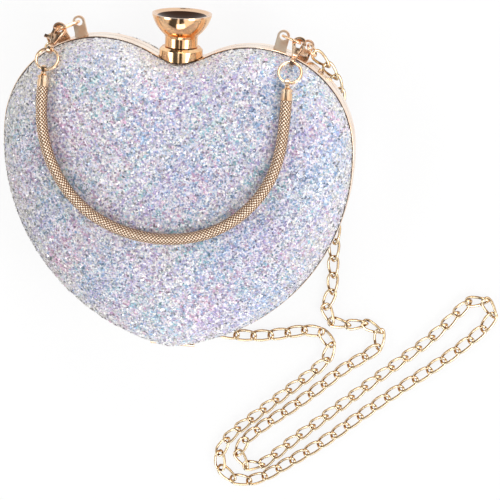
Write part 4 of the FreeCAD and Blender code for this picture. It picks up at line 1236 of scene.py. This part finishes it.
@dataclass(frozen=True)
class Studio:
    """The pale table, the soft light and the camera."""

    distance: float = 800.0 * MM
    lens: float = 120.96
    tilt_x: float = math.radians(7.79)
    tilt_y: float = math.radians(18.83)
    roll: float = math.radians(2.49)
    shift_x: float = -35.04 * MM
    shift_y: float = 51.51 * MM
    aim: tuple = (0.0, 22.7 * MM, 34.0 * MM)
    bright_side: tuple = (0.7, 0.3, 0.5)
    sky_strength: float = 1.25
    lamps: tuple = (("left", (-0.75, -0.05, 0.7), 0.4, 1.8), ("right", (0.75, -0.15, 0.7), 0.4, 2.2),
                    ("high", (0.1, 0.95, 0.55), 0.4, 2.6), ("low", (0.05, -0.95, 0.5), 0.5, 2.3))
    table_glow: float = 0.86
    table_reach: float = 3.0
    table_level: float = -0.2 * MM

    def sight(self) -> Array:
        """The direction from the purse towards the camera."""
        return unit(np.array([math.tan(self.tilt_x), math.tan(self.tilt_y), 1.0]))

    def camera(self) -> None:
        """Sets the camera at the photograph's viewing point, looking back along the tilted line of sight."""
        sight = self.sight()
        right = unit(np.cross([0.0, 1.0, 0.0], sight))
        top = np.cross(sight, right)
        across = math.cos(self.roll) * right + math.sin(self.roll) * top
        above = -math.sin(self.roll) * right + math.cos(self.roll) * top
        place = np.array(self.aim) + sight * self.distance - across * self.shift_x - above * self.shift_y
        data = bpy.data.cameras.new("photo_camera")
        data.lens = self.lens
        bpy.context.scene.camera = stand("photo_camera", data, [across, above, sight], place)

    def table(self) -> None:
        """A wide white table: the eye and the metal see it nearly white, and it keeps a faint shadow."""
        recipe = Recipe("white_table")
        seen = recipe.node("ShaderNodeLightPath", output="Is Camera Ray")
        cloth = recipe.node("ShaderNodeBsdfDiffuse", None, {"Color": grey(0.95)})
        glow = recipe.node("ShaderNodeEmission", None, {"Color": grey(1.0), "Strength": 1.0})
        lift = (seen + seen.also("Is Glossy Ray") + seen.also("Is Transmission Ray")) * self.table_glow
        finish = recipe.close(recipe.node("ShaderNodeMixShader", None, {0: lift, 1: cloth, 2: glow}))
        reach, level = self.table_reach, self.table_level
        corners = np.array([[-reach, -reach, level], [reach, -reach, level], [reach, reach, level],
                            [-reach, reach, level]])
        put("table", corners, [[0, 1, 2, 3]], finish)

    def light(self) -> None:
        """Light from all round, dimmer low down, on one side and in two strips by the camera; four lamps."""
        recipe = Recipe("studio", surroundings=True)
        ray = recipe.node("ShaderNodeTexCoord", output="Generated")
        level = recipe.node("ShaderNodeSeparateXYZ", None, {0: ray}, "Z")
        dome = recipe.ramp(level, [(0.0, grey(0.52)), (0.2, grey(0.82)), (0.45, grey(1.0))])
        sunny = recipe.facing(ray, unit(np.array(self.bright_side)))
        lean = recipe.ramp(sunny, [(0.1, grey(0.55)), (0.4, grey(0.92)), (0.6, grey(1.0))])
        aside = recipe.facing(ray, unit(np.cross([0.0, 1.0, 0.0], self.sight())))
        strip = recipe.ramp(aside, [
            (0.17, grey(1.0)), (0.2, grey(0.08)), (0.37, grey(0.08)), (0.395, grey(1.0)), (0.425, grey(1.0)),
            (0.45, grey(0.05)), (0.56, grey(0.05)), (0.6, grey(1.0))])
        shade = recipe.mix(1.0, recipe.mix(1.0, dome, lean, "MULTIPLY"), strip, "MULTIPLY")
        sky = recipe.node("ShaderNodeBackground", None, {"Color": shade, "Strength": self.sky_strength})
        white = recipe.node("ShaderNodeBackground", None, {"Color": grey(1.0), "Strength": 1.0})
        seen = recipe.node("ShaderNodeLightPath", output="Is Camera Ray")
        bpy.context.scene.world = recipe.close(
            recipe.node("ShaderNodeMixShader", None, {0: seen, 1: sky, 2: white}))
        for name, place, size, power in self.lamps:
            data = bpy.data.lights.new(name + "_lamp", "AREA")
            data.shape = "SQUARE"
            data.size = size
            data.energy = power
            back = unit(np.array(place))
            side = unit(np.cross(UP, back))
            stand(name + "_lamp", data, [side, np.cross(back, side), back], np.array(place))


def dress(solid: Piece, material: Material) -> None:
    """Gives a solid that stays in view its finish.

    Args:
        solid: The solid.
        material: Its finish.
    """
    if solid.material_slots:
        for slot in solid.material_slots:
            slot.material = material
    else:
        solid.data.materials.append(material)
    log.info("dressed %s in %s", solid.name, material.name)


def main() -> None:
    """Builds the pieces in order and reports each one."""
    logging.basicConfig(level=logging.INFO, format="%(name)s: %(message)s")
    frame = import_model()
    bpy.context.scene.view_settings.view_transform = "Standard"
    studio = Studio()
    studio.camera()
    studio.table()
    studio.light()
    gold = GoldFinish().make()
    clip_gold = GoldFinish("clip_gold", (1.0, 0.88, 0.76), (0.80, 0.58, 0.42), gloss=0.1, haze=0.1,
                           grain=220.0, relief_grain=150.0, relief=0.7 * MM).make()
    lug_gold = GoldFinish("lug_gold", (1.0, 0.93, 0.84), (0.93, 0.76, 0.62), gloss=0.34, haze=0.1,
                          grain=180.0).make()
    rim_gold = GoldFinish("rim_gold", (1.0, 0.94, 0.88), (0.97, 0.84, 0.73), gloss=0.14, haze=0.1,
                          grain=70.0).make()
    clasp_gold = GoldFinish("clasp_gold", (1.0, 0.85, 0.66), (0.84, 0.60, 0.40), gloss=0.08, haze=0.1,
                            grain=110.0).make()
    chain = ShoulderChain(ChainFinish().make()).build()
    log.info("laid %s", chain.name)
    outline = HeartOutline()
    bed, flakes = BedFinish().make(), FlakeFinish().make()
    satin, board = SatinFinish().make(), MottleFinish().make()
    # painted shade: a dark finish for the line that stands for the shadow in the gap at the rim
    line = MottleFinish("painted_gap_shade", (0.28, 0.23, 0.20), (0.46, 0.38, 0.33), grain=400.0, detail=2.0,
                        metal=0.6, gloss=0.3).make()
    for half, seed in ((Half.FRONT, 11), (Half.REAR, 23)):
        cover, inside = GlitterCover(half, outline, bed, flakes, seed), Lining(half, outline, satin)
        skin, grains, lining = cover.build_skin(), cover.scatter(), inside.build()
        edge = PaintedGapShade(half, outline, line).build()
        stretched(skin)
        stretched(lining)
        for piece in (skin, grains, lining, edge):
            log.info("built %s", piece.name)
    log.info("wove %s", MeshHandle(MeshSleeveFinish().make()).build().name)
    for side in Side:
        log.info("coiled %s", SplitRing(side, gold).build().name)
    special = {"front_shell": board, "rear_shell": board, "handle_core": board,
               "clasp_knob": KnobFinish().make(), "clasp_collar": clasp_gold,
               "front_frame": rim_gold, "rear_frame": rim_gold}
    for side in Side:
        for word in ("clasp_body_", "clasp_trigger_", "chain_lug_"):
            special[word + side.value] = clip_gold
        special["handle_lug_" + side.value] = lug_gold
    for name, solid in sorted(frame["nodes"].items()):
        if not solid.hide_render:
            dress(solid, special.get(name, gold))


if __name__ == "__main__":
    main()
